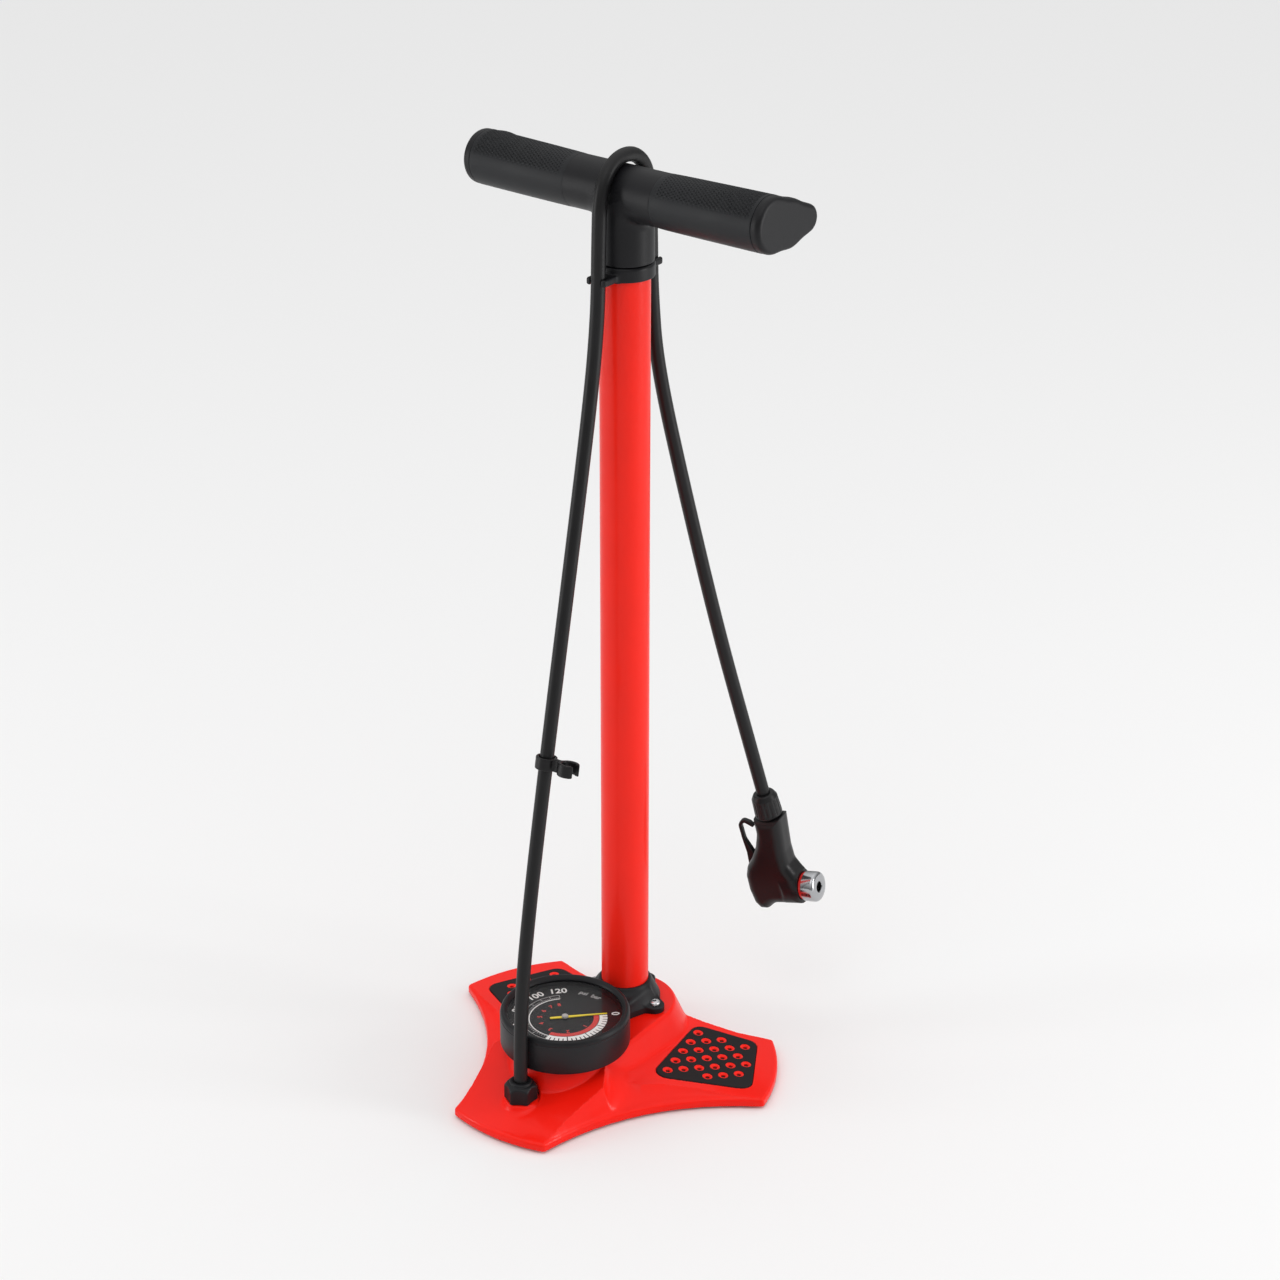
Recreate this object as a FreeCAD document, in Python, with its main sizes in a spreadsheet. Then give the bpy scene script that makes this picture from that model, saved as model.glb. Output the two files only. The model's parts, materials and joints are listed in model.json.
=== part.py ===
import FreeCAD, Part
import Sketcher
import math
import os
import re
from FreeCAD import Placement, Rotation, Vector

# Bicycle floor pump. Millimetres, +Z up, front leg and gauge towards -Y.
# The barrel's axis stands at x = 0, y = axis_back; heights are counted from the floor.

doc = FreeCAD.newDocument("FloorPump")

# ---------------------------------------------------------------- driving dimensions
DIMENSIONS = {
    "axis_back": 53.1,           # barrel axis behind the origin
    "barrel_out": 17.5, "barrel_in": 15.5, "barrel_foot": 46, "barrel_top": 607,
    "slide_gap": 0.3,            # running gap of the moving pieces
    # base: a three-legged shell round a centre in front of the barrel
    "star_back": 45,             # star centre in front of the barrel axis
    "front_reach": 112, "side_reach": 134, "leg_half": 41, "leg_turn": 28,
    "end_bow": 130, "skirt_bow": 195, "back_bow": 360, "ramp_end": 31, "ramp_half": 41,
    "base_low": 2, "plate_top": 7, "deck_top": 15, "hub_top": 36, "shell": 3,
    "deck_reach": 70, "deck_half": 36, "deck_bow": 80, "hub_back": 35, "hub_front": 36,
    "hub_spread": 10, "rib_gap": 28, "rib": 3, "rib_start": 30, "sole": 24,
    # foot pads
    "round_slack": 0.02,         # keeps a half circle just short of its full half
    "pad_thick": 2.5, "pad_sink": 1.5, "pad_round": 9, "pad_hole": 3.75,
    # gauge, a drum in front of the barrel
    "gauge_reach": 75.5, "gauge_out": 47.5, "gauge_in": 42.2, "gauge_low": 39, "gauge_rim": 62,
    "lens_out": 43.3, "lens_thick": 1.6, "bezel_in": 40.5, "bezel_top": 67,
    "dial_low": 55, "dial_thick": 1, "spindle": 1, "needle_low": 58, "needle_tip": 31,
    "tube_ring": 30, "tube_round": 2.6, "sector_pivot": 14, "pinion": 2.2,
    # hub bracket round the barrel foot
    "bracket_out": 30, "tab_out": 27, "tab_round": 7.5, "tab_top": 41, "screw": 2.2,
    "valve_room": 5, "port": 2,
    # collar and rod
    "collar_out": 20.5, "collar_low": 602, "collar_top": 612, "hook_half": 8, "hook_end": 34,
    "hook_centre": 30.5, "hook_mouth": 4,
    "rod_out": 6, "rod_in": 4.2, "rod_low": 74, "rod_top": 650, "guide_low": 592, "wiper_out": 9,
    # handle
    "handle_turn": -6,           # degrees about the rod, as the pump stands
    "stem_out": 20, "stem_low": 612.4, "bar_height": 660, "bar_front": 2,
    "waist_round": 18.2, "waist_half": 38, "waist_tail": 12, "waist_tip": 10.5,
    "grip_round": 19.1, "grip_end": 123, "grip_tail": 29.5, "grip_tip": 11.5, "grip_rise": 1,
    "bar_end": 130, "spindle_out": 11, "tail_drop": 3, "pin_height": 630, "pin_round": 2,
    # hose and its fittings
    "hose": 5, "hose_foot": 129.5, "nut_low": 18, "nut_out": 12.5, "nut_top": 33, "hose_low": 21,
    "fitting_round": 4, "lobes": 6, "air_pipe": 3, "pipe_height": 7,
    "clip_in": 5.35, "clip_out": 7.6, "clip_height": 9, "clip_reach": 19, "clip_mouth": 3.6,
    # pump head, in its own frame: X out of the nozzle, Z up the hose, Y across
    "head_half": 11, "head_nut": 19.5, "hose_grip": 6, "nozzle_drop": 83, "nozzle_face": 13.5,
    "ring_out": 10.5, "cap_out": 11.5, "cap_end": 26.5, "valve_bore": 4, "plunger_bore": 7,
    "pin_back": 23.5, "pin_drop": 76, "pin_thick": 2.2, "lever_half": 2,
}

sheet = doc.addObject("Spreadsheet::Sheet", "Dims")
for row, (alias, number) in enumerate(DIMENSIONS.items(), start=1):
    sheet.set(f"A{row}", alias)
    sheet.set(f"B{row}", str(number))
    sheet.setAlias(f"B{row}", alias)
doc.recompute()


def bound(text):
    """Expression text with every dimension's name pointed at the sheet."""
    return re.sub(r"[a-z][a-z_]*", lambda word: "Dims." + word.group()
                  if word.group() in DIMENSIONS else word.group(), str(text))


def size(text):
    """The number that an expression gives now."""
    return float(sheet.evalExpression(bound(text)))


def bind(thing, **sizes):
    """Tie properties of an object to expressions of the sheet."""
    for name, text in sizes.items():
        thing.setExpression(name, bound(text))


def place(thing, x="0", y="axis_back", z="0", turn=None):
    """Put a sub-part in the row frame; its default place is on the barrel's axis."""
    thing.Placement = Placement(Vector(size(x), size(y), size(z)), turn or Rotation())
    bind(thing, **{"Placement.Base.x": x, "Placement.Base.y": y, "Placement.Base.z": z})
    return thing


# ---------------------------------------------------------------- sketches and features
def new_body(label):
    body = doc.addObject("PartDesign::Body", label)
    body.Label = label
    return body


def new_sketch(body, role, name, offset="0"):
    sketch = body.newObject("Sketcher::SketchObject", name)
    plane = next(item for item in body.Origin.OriginFeatures if item.Role == role)
    sketch.AttachmentSupport = [(plane, "")]
    sketch.MapMode = "FlatFace"
    sketch.setExpression("AttachmentOffset.Base.z", bound(offset))
    return sketch


def fix(sketch, kind, text, *where):
    """Add one driving constraint and bind it to the sheet."""
    index = sketch.addConstraint(Sketcher.Constraint(kind, *where, size(text)))
    name = f"size{index}"
    sketch.renameConstraint(index, name)
    sketch.setExpression("Constraints." + name, bound(text))


def add_outline(sketch, corners, bows=None, wide=()):
    """Closed outline drawn anticlockwise. bows maps a corner's number to the radius of the
    arc to the next corner: it bulges outwards, or inwards where the radius has a minus sign.
    The arcs that turn through more than half a circle are listed in wide."""
    bows = bows or {}
    places = [Vector(size(x), size(y), 0) for x, y in corners]
    edges = []
    for number, start in enumerate(places):
        end = places[(number + 1) % len(places)]
        if number not in bows:
            edges.append((sketch.addGeometry(Part.LineSegment(start, end)), 1, 2))
            continue
        inward = str(bows[number]).startswith("-")
        radius = abs(size(bows[number]))
        chord = end - start
        left = Vector(-chord.y, chord.x, 0).normalize()
        reach = math.sqrt(max(radius ** 2 - (chord.Length / 2) ** 2, 0))
        centre = (start + end) / 2 + left * (-reach if inward or number in wide else reach)
        first, last = (end, start) if inward else (start, end)
        angles = [math.atan2(point.y - centre.y, point.x - centre.x) for point in (first, last)]
        if angles[1] < angles[0]:
            angles[1] += 2 * math.pi
        circle = Part.Circle(centre, Vector(0, 0, 1), radius)
        edge = sketch.addGeometry(Part.ArcOfCircle(circle, *angles))
        edges.append((edge, 2, 1) if inward else (edge, 1, 2))
    for number, (edge, start, end) in enumerate(edges):
        following = edges[(number + 1) % len(edges)]
        sketch.addConstraint(Sketcher.Constraint("Coincident", edge, end, following[0], following[1]))
        fix(sketch, "DistanceX", corners[number][0], -1, 1, edge, start)
        fix(sketch, "DistanceY", corners[number][1], -1, 1, edge, start)
        if number in bows:
            fix(sketch, "Radius", str(bows[number]).lstrip("-"), edge)


def add_circle(sketch, x, y, radius):
    circle = Part.Circle(Vector(size(x), size(y), 0), Vector(0, 0, 1), size(radius))
    edge = sketch.addGeometry(circle)
    fix(sketch, "DistanceX", x, -1, 1, edge, 3)
    fix(sketch, "DistanceY", y, -1, 1, edge, 3)
    fix(sketch, "Radius", radius, edge)


def pad(body, sketch, length, middle=False):
    feature = body.newObject("PartDesign::Pad", sketch.Name + "_pad")
    feature.Profile = sketch
    feature.SideType = "Symmetric" if middle else "One side"
    bind(feature, Length=length)
    sketch.Visibility = False
    return feature


def pocket(body, sketch, length=None, middle=False):
    """Cut a sketch through a body; the volume has to fall."""
    doc.recompute()
    before = body.Shape.Volume
    feature = body.newObject("PartDesign::Pocket", sketch.Name + "_cut")
    feature.Profile = sketch
    if length is None:
        feature.Type = "ThroughAll"
    else:
        bind(feature, Length=length)
    feature.SideType = "Symmetric" if middle else "One side"
    doc.recompute()
    if body.Shape.Volume > before - 1e-3:
        feature.Reversed = True
        doc.recompute()
    assert body.Shape.Volume < before - 1e-3, sketch.Name
    return feature


def turned(label, corners, bows=None):
    """Body of revolution about its own Z axis, from an outline of (radius, height)."""
    body = new_body(label)
    sketch = new_sketch(body, "XZ_Plane", label + "_profile")
    add_outline(sketch, corners, bows)
    feature = body.newObject("PartDesign::Revolution", label + "_turn")
    feature.Profile = sketch
    feature.ReferenceAxis = (sketch, ["V_Axis"])
    feature.Angle = 360
    return body


def loft(body, kind, sections, name):
    """Straight-sided loft, kind Additive or Subtractive, between sketches."""
    feature = body.newObject(f"PartDesign::{kind}Loft", name)
    feature.Profile = sections[0]
    feature.Sections = sections[1:]
    feature.Ruled = True
    return feature


def cylinder(name, radius, height, x="0", y="0", z="0", along=None):
    tool = doc.addObject("Part::Cylinder", name)
    bind(tool, Radius=radius, Height=height)
    return place(tool, x, y, z, Rotation(Vector(0, 0, 1), along) if along else None)


def block(name, low, high):
    """Box between two corners of expressions."""
    tool = doc.addObject("Part::Box", name)
    bind(tool, **{side: f"({b}) - ({a})" for side, a, b in zip(("Length", "Width", "Height"), low, high)})
    return place(tool, *low)


def joined(name, pieces):
    fuse = doc.addObject("Part::MultiFuse", name)
    fuse.Label = name
    fuse.Shapes = pieces
    return fuse


def without(name, piece, tools):
    """The piece less its tools; the volume has to fall."""
    cut = doc.addObject("Part::Cut", name)
    cut.Label = name
    cut.Base = piece
    cut.Tool = tools[0] if len(tools) == 1 else joined(name + "_tools", tools)
    doc.recompute()
    assert cut.Shape.Volume < piece.Shape.Volume - 1e-3, name
    return cut


def ring(label, inside, outside, low, high):
    """Plain turned ring or tube."""
    return turned(label, [(inside, low), (outside, low), (outside, high), (inside, high)])


nodes = []
SIDEWAYS = Vector(0, 1, 0)
ACROSS = Vector(1, 0, 0)


def keep(thing, **where):
    """Place a finished sub-part and list it as a node."""
    nodes.append(place(thing, **where))
    return thing


# ---------------------------------------------------------------- base shell
def star_corners(front, side, half):
    """Corners of the three-legged outline, anticlockwise from the front leg's left corner."""
    cosine, sine = "cos(leg_turn * 1 deg)", "sin(leg_turn * 1 deg)"
    near_x = f"({side}) * {cosine} + ({half}) * {sine}"
    near_y = f"({side}) * {sine} - ({half}) * {cosine}"
    far_x = f"({side}) * {cosine} - ({half}) * {sine}"
    far_y = f"({side}) * {sine} + ({half}) * {cosine}"
    return [(f"-({half})", f"-({front})"), (f"{half}", f"-({front})"), (near_x, near_y),
            (far_x, far_y), (f"-({far_x})", far_y), (f"-({near_x})", near_y)]


def star_sketch(body, name, height, front, side, half, skirt):
    sketch = new_sketch(body, "XY_Plane", name, height)
    bows = {0: "end_bow", 1: f"-{skirt}", 2: "end_bow", 3: "-back_bow", 4: "end_bow", 5: f"-{skirt}"}
    add_outline(sketch, star_corners(front, side, half), bows)
    return sketch


def hub_sketch(body, name, height, spread):
    """Egg-shaped section that holds the barrel foot at the back and the gauge in front."""
    sketch = new_sketch(body, "XY_Plane", name, height)
    back, front = f"hub_back + ({spread})", f"hub_front + ({spread})"
    corners = [(f"-({front})", "star_back - gauge_reach"), (front, "star_back - gauge_reach"),
               (back, "star_back"), (f"-({back})", "star_back")]
    add_outline(sketch, corners, {0: front + " + round_slack", 2: back + " + round_slack"})
    return sketch


def star_solid(label, low, inset, sole, drop, top_inset):
    """Plate, sloping deck and hub; inset, sole and drop shrink it for the hollow."""
    body = new_body(label)
    half = f"leg_half - {inset}"
    reach = (f"front_reach - {inset} - {sole}", f"side_reach - {inset} - {sole}")
    plate = star_sketch(body, label + "_plate", low, *reach, half, "skirt_bow")
    pad(body, plate, f"plate_top - {drop} - ({low})")
    rim = star_sketch(body, label + "_rim", f"plate_top - {drop}", reach[0] + " - 1", reach[1] + " - 1",
                      half + " - 1", "skirt_bow")
    deck = star_sketch(body, label + "_deck", f"deck_top - {drop}", f"deck_reach - 12 - {top_inset}",
                       f"deck_reach - {top_inset}", f"deck_half - {top_inset}", "deck_bow")
    loft(body, "Additive", [rim, deck], label + "_slope")
    foot = hub_sketch(body, label + "_foot", f"plate_top - {drop}", f"hub_spread - {inset}")
    head = hub_sketch(body, label + "_head", f"hub_top - {drop}", f"-({top_inset})")
    loft(body, "Additive", [foot, head], label + "_hub")
    ramp = new_sketch(body, "YZ_Plane", label + "_ramp")
    add_outline(ramp, [(f"1 - ({reach[0]})", f"plate_top - {drop}"), ("-ramp_end", f"plate_top - {drop}"),
                       ("-ramp_end", f"hub_top - {drop}")])
    pad(body, ramp, f"2 * (ramp_half - {inset} - {top_inset})", middle=True)
    return body


outer = star_solid("base_outer", "base_low", "0", "0", "0", "0")
hollow = star_solid("base_hollow", "base_low - 1", "shell", "sole", "shell", "shell")
shell_tools = [hollow]
rib_pieces = []
for side in (-1, 1):
    rib_x = f"{side} * rib_gap / 2 - rib / 2"
    rib_pieces.append(block(f"hub_rib{side + 1}", (rib_x, "-front_reach", "base_low"),
                            (rib_x + " + rib", "star_back + hub_back", "hub_top")))
LEG_TURNS = (-90, size("leg_turn"), 180 - size("leg_turn"))
for leg, turn in enumerate(LEG_TURNS[1:]):
    for side in (-1, 1):
        rib = doc.addObject("Part::Box", f"leg_rib{leg}_{side + 1}")
        bind(rib, Length="side_reach - rib_start - 10", Width="rib", Height="hub_top")
        turn_leg = Rotation(Vector(0, 0, 1), turn)
        corner = turn_leg.multVec(Vector(size("rib_start"), size(f"{side} * rib_gap / 2 - rib / 2"), 0))
        rib.Placement = Placement(corner + Vector(0, 0, size("base_low")), turn_leg)
        rib_pieces.append(rib)
ribs = doc.addObject("Part::MultiCommon", "ribs_trimmed")
ribs.Shapes = [joined("ribs_full", rib_pieces), outer]

# Openings of the shell: air pipe, screw holes in the hub top, fitting in the front leg, pad recesses.
shell_holes = [
    cylinder("pipe_hole", "air_pipe + 0.2", "10", y="star_back", z="hub_top - 5"),
    cylinder("fitting_hole", "fitting_round + 0.2", "20", y="star_back - hose_foot", z="base_low"),
    cylinder("nut_seat", "nut_out + 1.5", "20", y="star_back - hose_foot", z="nut_low"),
    block("fitting_room", ("-7", "star_back - hose_foot - 7", "base_low"),
          ("7", "star_back - hose_foot + 7", "nut_low - shell")),
    block("pipe_room", ("-air_pipe - 1", "star_back - hose_foot", "base_low"),
          ("air_pipe + 1", "star_back - 10", "nut_low - shell")),
]
TABS = ((1, 0), (0, 1), (-1, 0))
for number, (across, back) in enumerate(TABS):
    shell_holes.append(cylinder(f"screw_hole{number}", "screw + 0.1", "20", x=f"{across} * tab_out",
                                y=f"star_back + {back} * tab_out", z="hub_top - 12"))


# Corners of the right foot pad, along and across its leg.
PAD_CORNERS = [("123.5", "-29.5"), ("122.5", "33.5"), ("74.5", "43.5"), ("48.5", "-34")]


def pad_outline(sketch, side):
    """Foot pad's outline; the left one is the right one mirrored."""
    corners = PAD_CORNERS
    if side < 0:
        corners = [(x, f"-({y})") for x, y in reversed(PAD_CORNERS)]
    add_outline(sketch, corners)


def deck_turn(side):
    """Leg direction, then the deck's slope down towards the leg's end."""
    slope = math.degrees(math.atan((size("deck_top") - size("plate_top"))
                                   / (size("side_reach") - size("deck_reach") - 1)))
    return Rotation(Vector(0, 0, 1), LEG_TURNS[1 if side > 0 else 2]).multiply(Rotation(SIDEWAYS, slope))


def deck_height():
    """Height of the deck's slope carried back over the star's centre."""
    rise = (size("deck_top") - size("plate_top")) / (size("side_reach") - size("deck_reach") - 1)
    return size("deck_top") + size("deck_reach") * rise - size("pad_sink")


def pad_body(label, side, thick):
    """Pad with rounded corners; its upright edges are filleted."""
    body = new_body(label)
    sketch = new_sketch(body, "XY_Plane", label + "_outline")
    pad_outline(sketch, side)
    feature = pad(body, sketch, thick)
    doc.recompute()
    upright = [f"Edge{number}" for number, edge in enumerate(feature.Shape.Edges, start=1)
               if abs(edge.Vertexes[0].Z - edge.Vertexes[-1].Z) > 1]
    rounding = body.newObject("PartDesign::Fillet", label + "_round")
    rounding.Base = (feature, upright)
    bind(rounding, Radius="pad_round")
    doc.recompute()
    return body


for side in (-1, 1):
    recess = pad_body(f"pad_recess{side + 1}", side, "12")
    recess.Placement = Placement(Vector(0, 0, deck_height()), deck_turn(side))
    shell_holes.append(recess)

shell_skin = without("shell_skin", outer, shell_tools)
shell_ribbed = joined("shell_ribbed", [shell_skin, ribs, cylinder(
    "fitting_boss", "nut_out + 1", "nut_low - base_low", y="star_back - hose_foot", z="base_low")])
keep(without("base_shell", shell_ribbed, shell_holes), y="axis_back - star_back")

# ---------------------------------------------------------------- foot pads and floor feet
# Rows of holes in the right pad: along and across the leg for the first hole, then how many.
HOLE_STEP = (11.14, 4.84)
HOLE_ROWS = [(90.2, -22.3, 3), (60.9, -22.9, 6), (65.1, -9, 5), (69.2, 4.9, 5), (73.4, 18.8, 3),
             (77.6, 32.7, 1)]
for label, side in (("foot_pad_left", -1), ("foot_pad_right", 1)):
    foot_pad = pad_body(label, side, "pad_thick")
    holes = new_sketch(foot_pad, "XY_Plane", label + "_holes")
    for along, across, count in HOLE_ROWS:
        for step in range(count):
            add_circle(holes, f"{along} + {step} * {HOLE_STEP[0]}",
                       f"{side} * ({across} + {step} * {HOLE_STEP[1]})", "pad_hole")
    pocket(foot_pad, holes)
    foot_pad.Placement = Placement(Vector(0, size("axis_back - star_back"), deck_height()), deck_turn(side))
    nodes.append(foot_pad)

feet = []
for leg, (turn, reach) in enumerate(zip(LEG_TURNS, ("front_reach", "side_reach", "side_reach"))):
    foot = new_body(f"foot{leg}")
    sketch = new_sketch(foot, "XY_Plane", f"foot{leg}_outline")
    corners = [(f"{reach} - 21", "-25"), (f"{reach} - 5", "-25"), (f"{reach} - 5", "25"),
               (f"{reach} - 21", "25")]
    add_outline(sketch, corners, {0: "8.01", 2: "8.01"})
    pad(foot, sketch, "base_low")
    foot.Placement = Placement(Vector(0, 0, 0), Rotation(Vector(0, 0, 1), turn))
    feet.append(foot)
floor_feet = doc.addObject("Part::Compound", "floor_feet")
floor_feet.Links = feet
keep(floor_feet, y="axis_back - star_back")

# ---------------------------------------------------------------- barrel, foot plug and check valve
keep(ring("barrel", "barrel_in", "barrel_out", "barrel_foot", "barrel_top"))
PLUG_TOP = "barrel_foot + 12"
keep(turned("foot_plug", [("port", "barrel_foot"), ("barrel_in", "barrel_foot"),
                          ("barrel_in", "barrel_foot + 5"), ("barrel_in - 2.1", "barrel_foot + 5"),
                          ("barrel_in - 2.1", "barrel_foot + 7.2"), ("barrel_in", "barrel_foot + 7.2"),
                          ("barrel_in", PLUG_TOP), ("port", PLUG_TOP)]))
o_ring = doc.addObject("Part::Torus", "foot_o_ring")
bind(o_ring, Radius1="barrel_in - 1.05", Radius2="1")
keep(o_ring, z="barrel_foot + 6.1")
keep(turned("check_valve_poppet", [("0", "barrel_foot - 5"), ("1.5", "barrel_foot - 5"),
                                   ("1.5", "barrel_foot - 2.6"), ("valve_room - 0.6", "barrel_foot - 2.6"),
                                   ("valve_room - 0.6", "barrel_foot - 0.3"), ("0", "barrel_foot - 0.3")]))
COIL_WIRE = 0.4
COIL_STEP = 1.45
COIL_RADIUS = size("valve_room") - 2
coil = Part.makeHelix(COIL_STEP, 3 * COIL_STEP, COIL_RADIUS)
coil_profile = Part.Wire(Part.makeCircle(COIL_WIRE, Vector(COIL_RADIUS, 0, 0), SIDEWAYS))
valve_spring = doc.addObject("Part::Feature", "check_valve_spring")
valve_spring.Shape = coil.makePipeShell([coil_profile], True, True)
keep(valve_spring, z="hub_top + 2.5")

# ---------------------------------------------------------------- hub bracket and its screws
socket = turned("bracket_socket", [
    ("port", "hub_top"), ("bracket_out", "hub_top"), ("bracket_out", "tab_top"),
    ("bracket_out - 7", "tab_top + 6"), ("barrel_out + 1.5", "barrel_foot + 10"),
    ("barrel_out", "barrel_foot + 10"), ("barrel_out", "barrel_foot"), ("valve_room", "barrel_foot"),
    ("valve_room", "hub_top + 2"), ("port", "hub_top + 2")], {2: "-12"})
bracket_pieces = [socket,
                  cylinder("cradle", "hub_front - 2", "gauge_low - hub_top", y="-gauge_reach", z="hub_top"),
                  block("neck", ("-14", "-50", "hub_top"), ("14", "-19", "barrel_foot + 6"))]
bracket_tools = [cylinder("gauge_space", "gauge_out", "60", y="-gauge_reach", z="gauge_low"),
                 cylinder("barrel_space", "barrel_out", "60", z="barrel_foot"),
                 cylinder("valve_space", "valve_room", "8.1", z="hub_top + 2"),
                 cylinder("gauge_port", "air_pipe", "10", x="tube_ring", y="-gauge_reach - 4.5",
                          z="hub_top - 5")]
screws = []
nuts = []
for number, (across, back) in enumerate(TABS):
    spot = {"x": f"{across} * tab_out", "y": f"{back} * tab_out"}
    bracket_pieces.append(cylinder(f"tab{number}", "tab_round", "tab_top - hub_top", z="hub_top", **spot))
    bracket_tools.append(cylinder(f"tab_hole{number}", "screw", "tab_top - hub_top + 2", z="hub_top - 1",
                                  **spot))
    bracket_tools.append(cylinder(f"tab_seat{number}", "tab_round - 2.5", "8", z="tab_top", **spot))
    screw = turned(f"screw{number}", [("0", "hub_top - 9"), ("screw", "hub_top - 9"), ("screw", "tab_top"),
                                      ("4.2", "tab_top"), ("4.2", "tab_top + 1.2"), ("3", "tab_top + 2.6"),
                                      ("0", "tab_top + 2.6")], {4: "2"})
    recess = new_sketch(screw, "XY_Plane", f"screw{number}_recess", "tab_top + 1.1")
    add_circle(recess, "0", "0", "1.3")
    pocket(screw, recess)
    screws.append(place(screw, y=spot["y"], x=spot["x"]))
    nut = doc.addObject("Part::Prism", f"nut_blank{number}")
    nut.Polygon = 6
    bind(nut, Circumradius="4.5", Height="3.2")
    place(nut, z="hub_top - shell - 3.2", **spot)
    nuts.append(without(f"nut{number}", nut, [cylinder(f"nut_bore{number}", "screw", "20",
                                                       z="hub_top - 15", **spot)]))
keep(without("hub_bracket", joined("bracket_solid", bracket_pieces), bracket_tools))
for label, group in (("hub_screws", screws), ("hub_nuts", nuts)):
    compound = doc.addObject("Part::Compound", label)
    compound.Links = group
    keep(compound)

# ---------------------------------------------------------------- gauge
AT_GAUGE = {"y": "axis_back - gauge_reach"}
case = turned("case_turned", [("2", "gauge_low"), ("gauge_out - 3", "gauge_low"),
                              ("gauge_out", "gauge_low + 3"), ("gauge_out", "gauge_rim"),
                              ("gauge_in", "gauge_rim"), ("gauge_in", "gauge_low + 2.5"),
                              ("2", "gauge_low + 2.5")], {1: "3.01"})
keep(without("gauge_case", case, [cylinder("case_port", "air_pipe", "6", x="tube_ring", y="-4.5",
                                           z="gauge_low - 1")]), **AT_GAUGE)
LENS_TOP = "gauge_rim + lens_thick"
keep(turned("gauge_bezel", [("lens_out", "gauge_rim"), ("gauge_out", "gauge_rim"),
                            ("gauge_out", "bezel_top - 3"), ("gauge_out - 3", "bezel_top"),
                            ("bezel_in + 1.5", "bezel_top"), ("bezel_in", "bezel_top - 1.5"),
                            ("bezel_in", LENS_TOP), ("lens_out", LENS_TOP)], {2: "3.01"}), **AT_GAUGE)
keep(turned("gauge_lens", [("0", "gauge_rim"), ("lens_out", "gauge_rim"), ("lens_out", LENS_TOP),
                           ("0", LENS_TOP)]), **AT_GAUGE)
keep(ring("dial_plate", "spindle + 0.8", "gauge_in", "dial_low", "dial_low + dial_thick"), **AT_GAUGE)

needle = new_body("gauge_needle")
blade = new_sketch(needle, "XY_Plane", "needle_outline", "needle_low")
add_outline(blade, [("-11", "-1"), ("0", "-1.1"), ("needle_tip", "-0.35"), ("needle_tip", "0.35"),
                    ("0", "1.1"), ("-11", "1")])
add_circle(blade, "0", "0", "spindle")
pad(needle, blade, "0.6")
NEEDLE_REST = Rotation(Vector(0, 0, 1), 44.5)
keep(needle, turn=NEEDLE_REST, **AT_GAUGE)
keep(turned("needle_cap", [("0", "needle_low + 0.6"), ("2.6", "needle_low + 0.6"),
                           ("2.2", "needle_low + 1.8"), ("0", "needle_low + 1.8")]), **AT_GAUGE)
keep(turned("needle_spindle", [("0", "46"), ("spindle", "46"), ("spindle", "48"), ("pinion", "48"),
                               ("pinion", "49.5"), ("spindle", "49.5"), ("spindle", "needle_low + 0.6"),
                               ("0", "needle_low + 0.6")]), **AT_GAUGE)
sector = new_body("gauge_sector")
fan = new_sketch(sector, "XY_Plane", "sector_outline", "48.1")
FAN = "sector_pivot - pinion - 0.1"
add_outline(fan, [(f"({FAN}) * cos(58 deg)", f"-({FAN}) * sin(58 deg)"),
                  (f"({FAN}) * cos(8 deg)", f"({FAN}) * sin(8 deg)"), ("0", "2.6"), ("-2.5", "0"),
                  ("-2", "-2")], {0: FAN})
add_circle(fan, "0", "0", "spindle + 0.05")
pad(sector, fan, "1.3")
SECTOR_REST = Rotation(Vector(0, 0, 1), 180)
keep(sector, x="sector_pivot", turn=SECTOR_REST, **AT_GAUGE)

movement_pieces = [cylinder("lower_plate", "20.5", "1.5", z="44.3"),
                   cylinder("upper_plate", "20.5", "1.5", z="50.2"),
                   cylinder("sector_post", "spindle", "6", x="sector_pivot", z="45")]
for number, turn in enumerate((80, 180, 280)):
    spot = {"x": f"16.5 * cos({turn} deg)", "y": f"16.5 * sin({turn} deg)"}
    movement_pieces.append(cylinder(f"pillar{number}", "1.4", "6", z="45", **spot))
    movement_pieces.append(cylinder(f"stand{number}", "2.5", "3", z="gauge_low + 2.5", **spot))
    movement_pieces.append(cylinder(f"dial_stand{number}", "1.4", "dial_low - 51", z="51", **spot))
keep(without("gauge_movement", joined("movement_solid", movement_pieces),
             [cylinder("spindle_hole", "spindle + 0.06", "20", z="40")]), **AT_GAUGE)
bourdon = doc.addObject("Part::Torus", "bourdon_tube")
bind(bourdon, Radius1="tube_ring", Radius2="tube_round")
bourdon.Angle3 = 250
keep(bourdon, z="46", **AT_GAUGE)
keep(joined("gauge_socket", [
    block("socket_block", ("tube_ring - 5", "-9", "gauge_low + 2.5"), ("tube_ring + 5", "0", "50")),
    cylinder("socket_spigot", "air_pipe", "gauge_low + 2.5 - hub_top", x="tube_ring", y="-4.5",
             z="hub_top")]),
    **AT_GAUGE)

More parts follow.
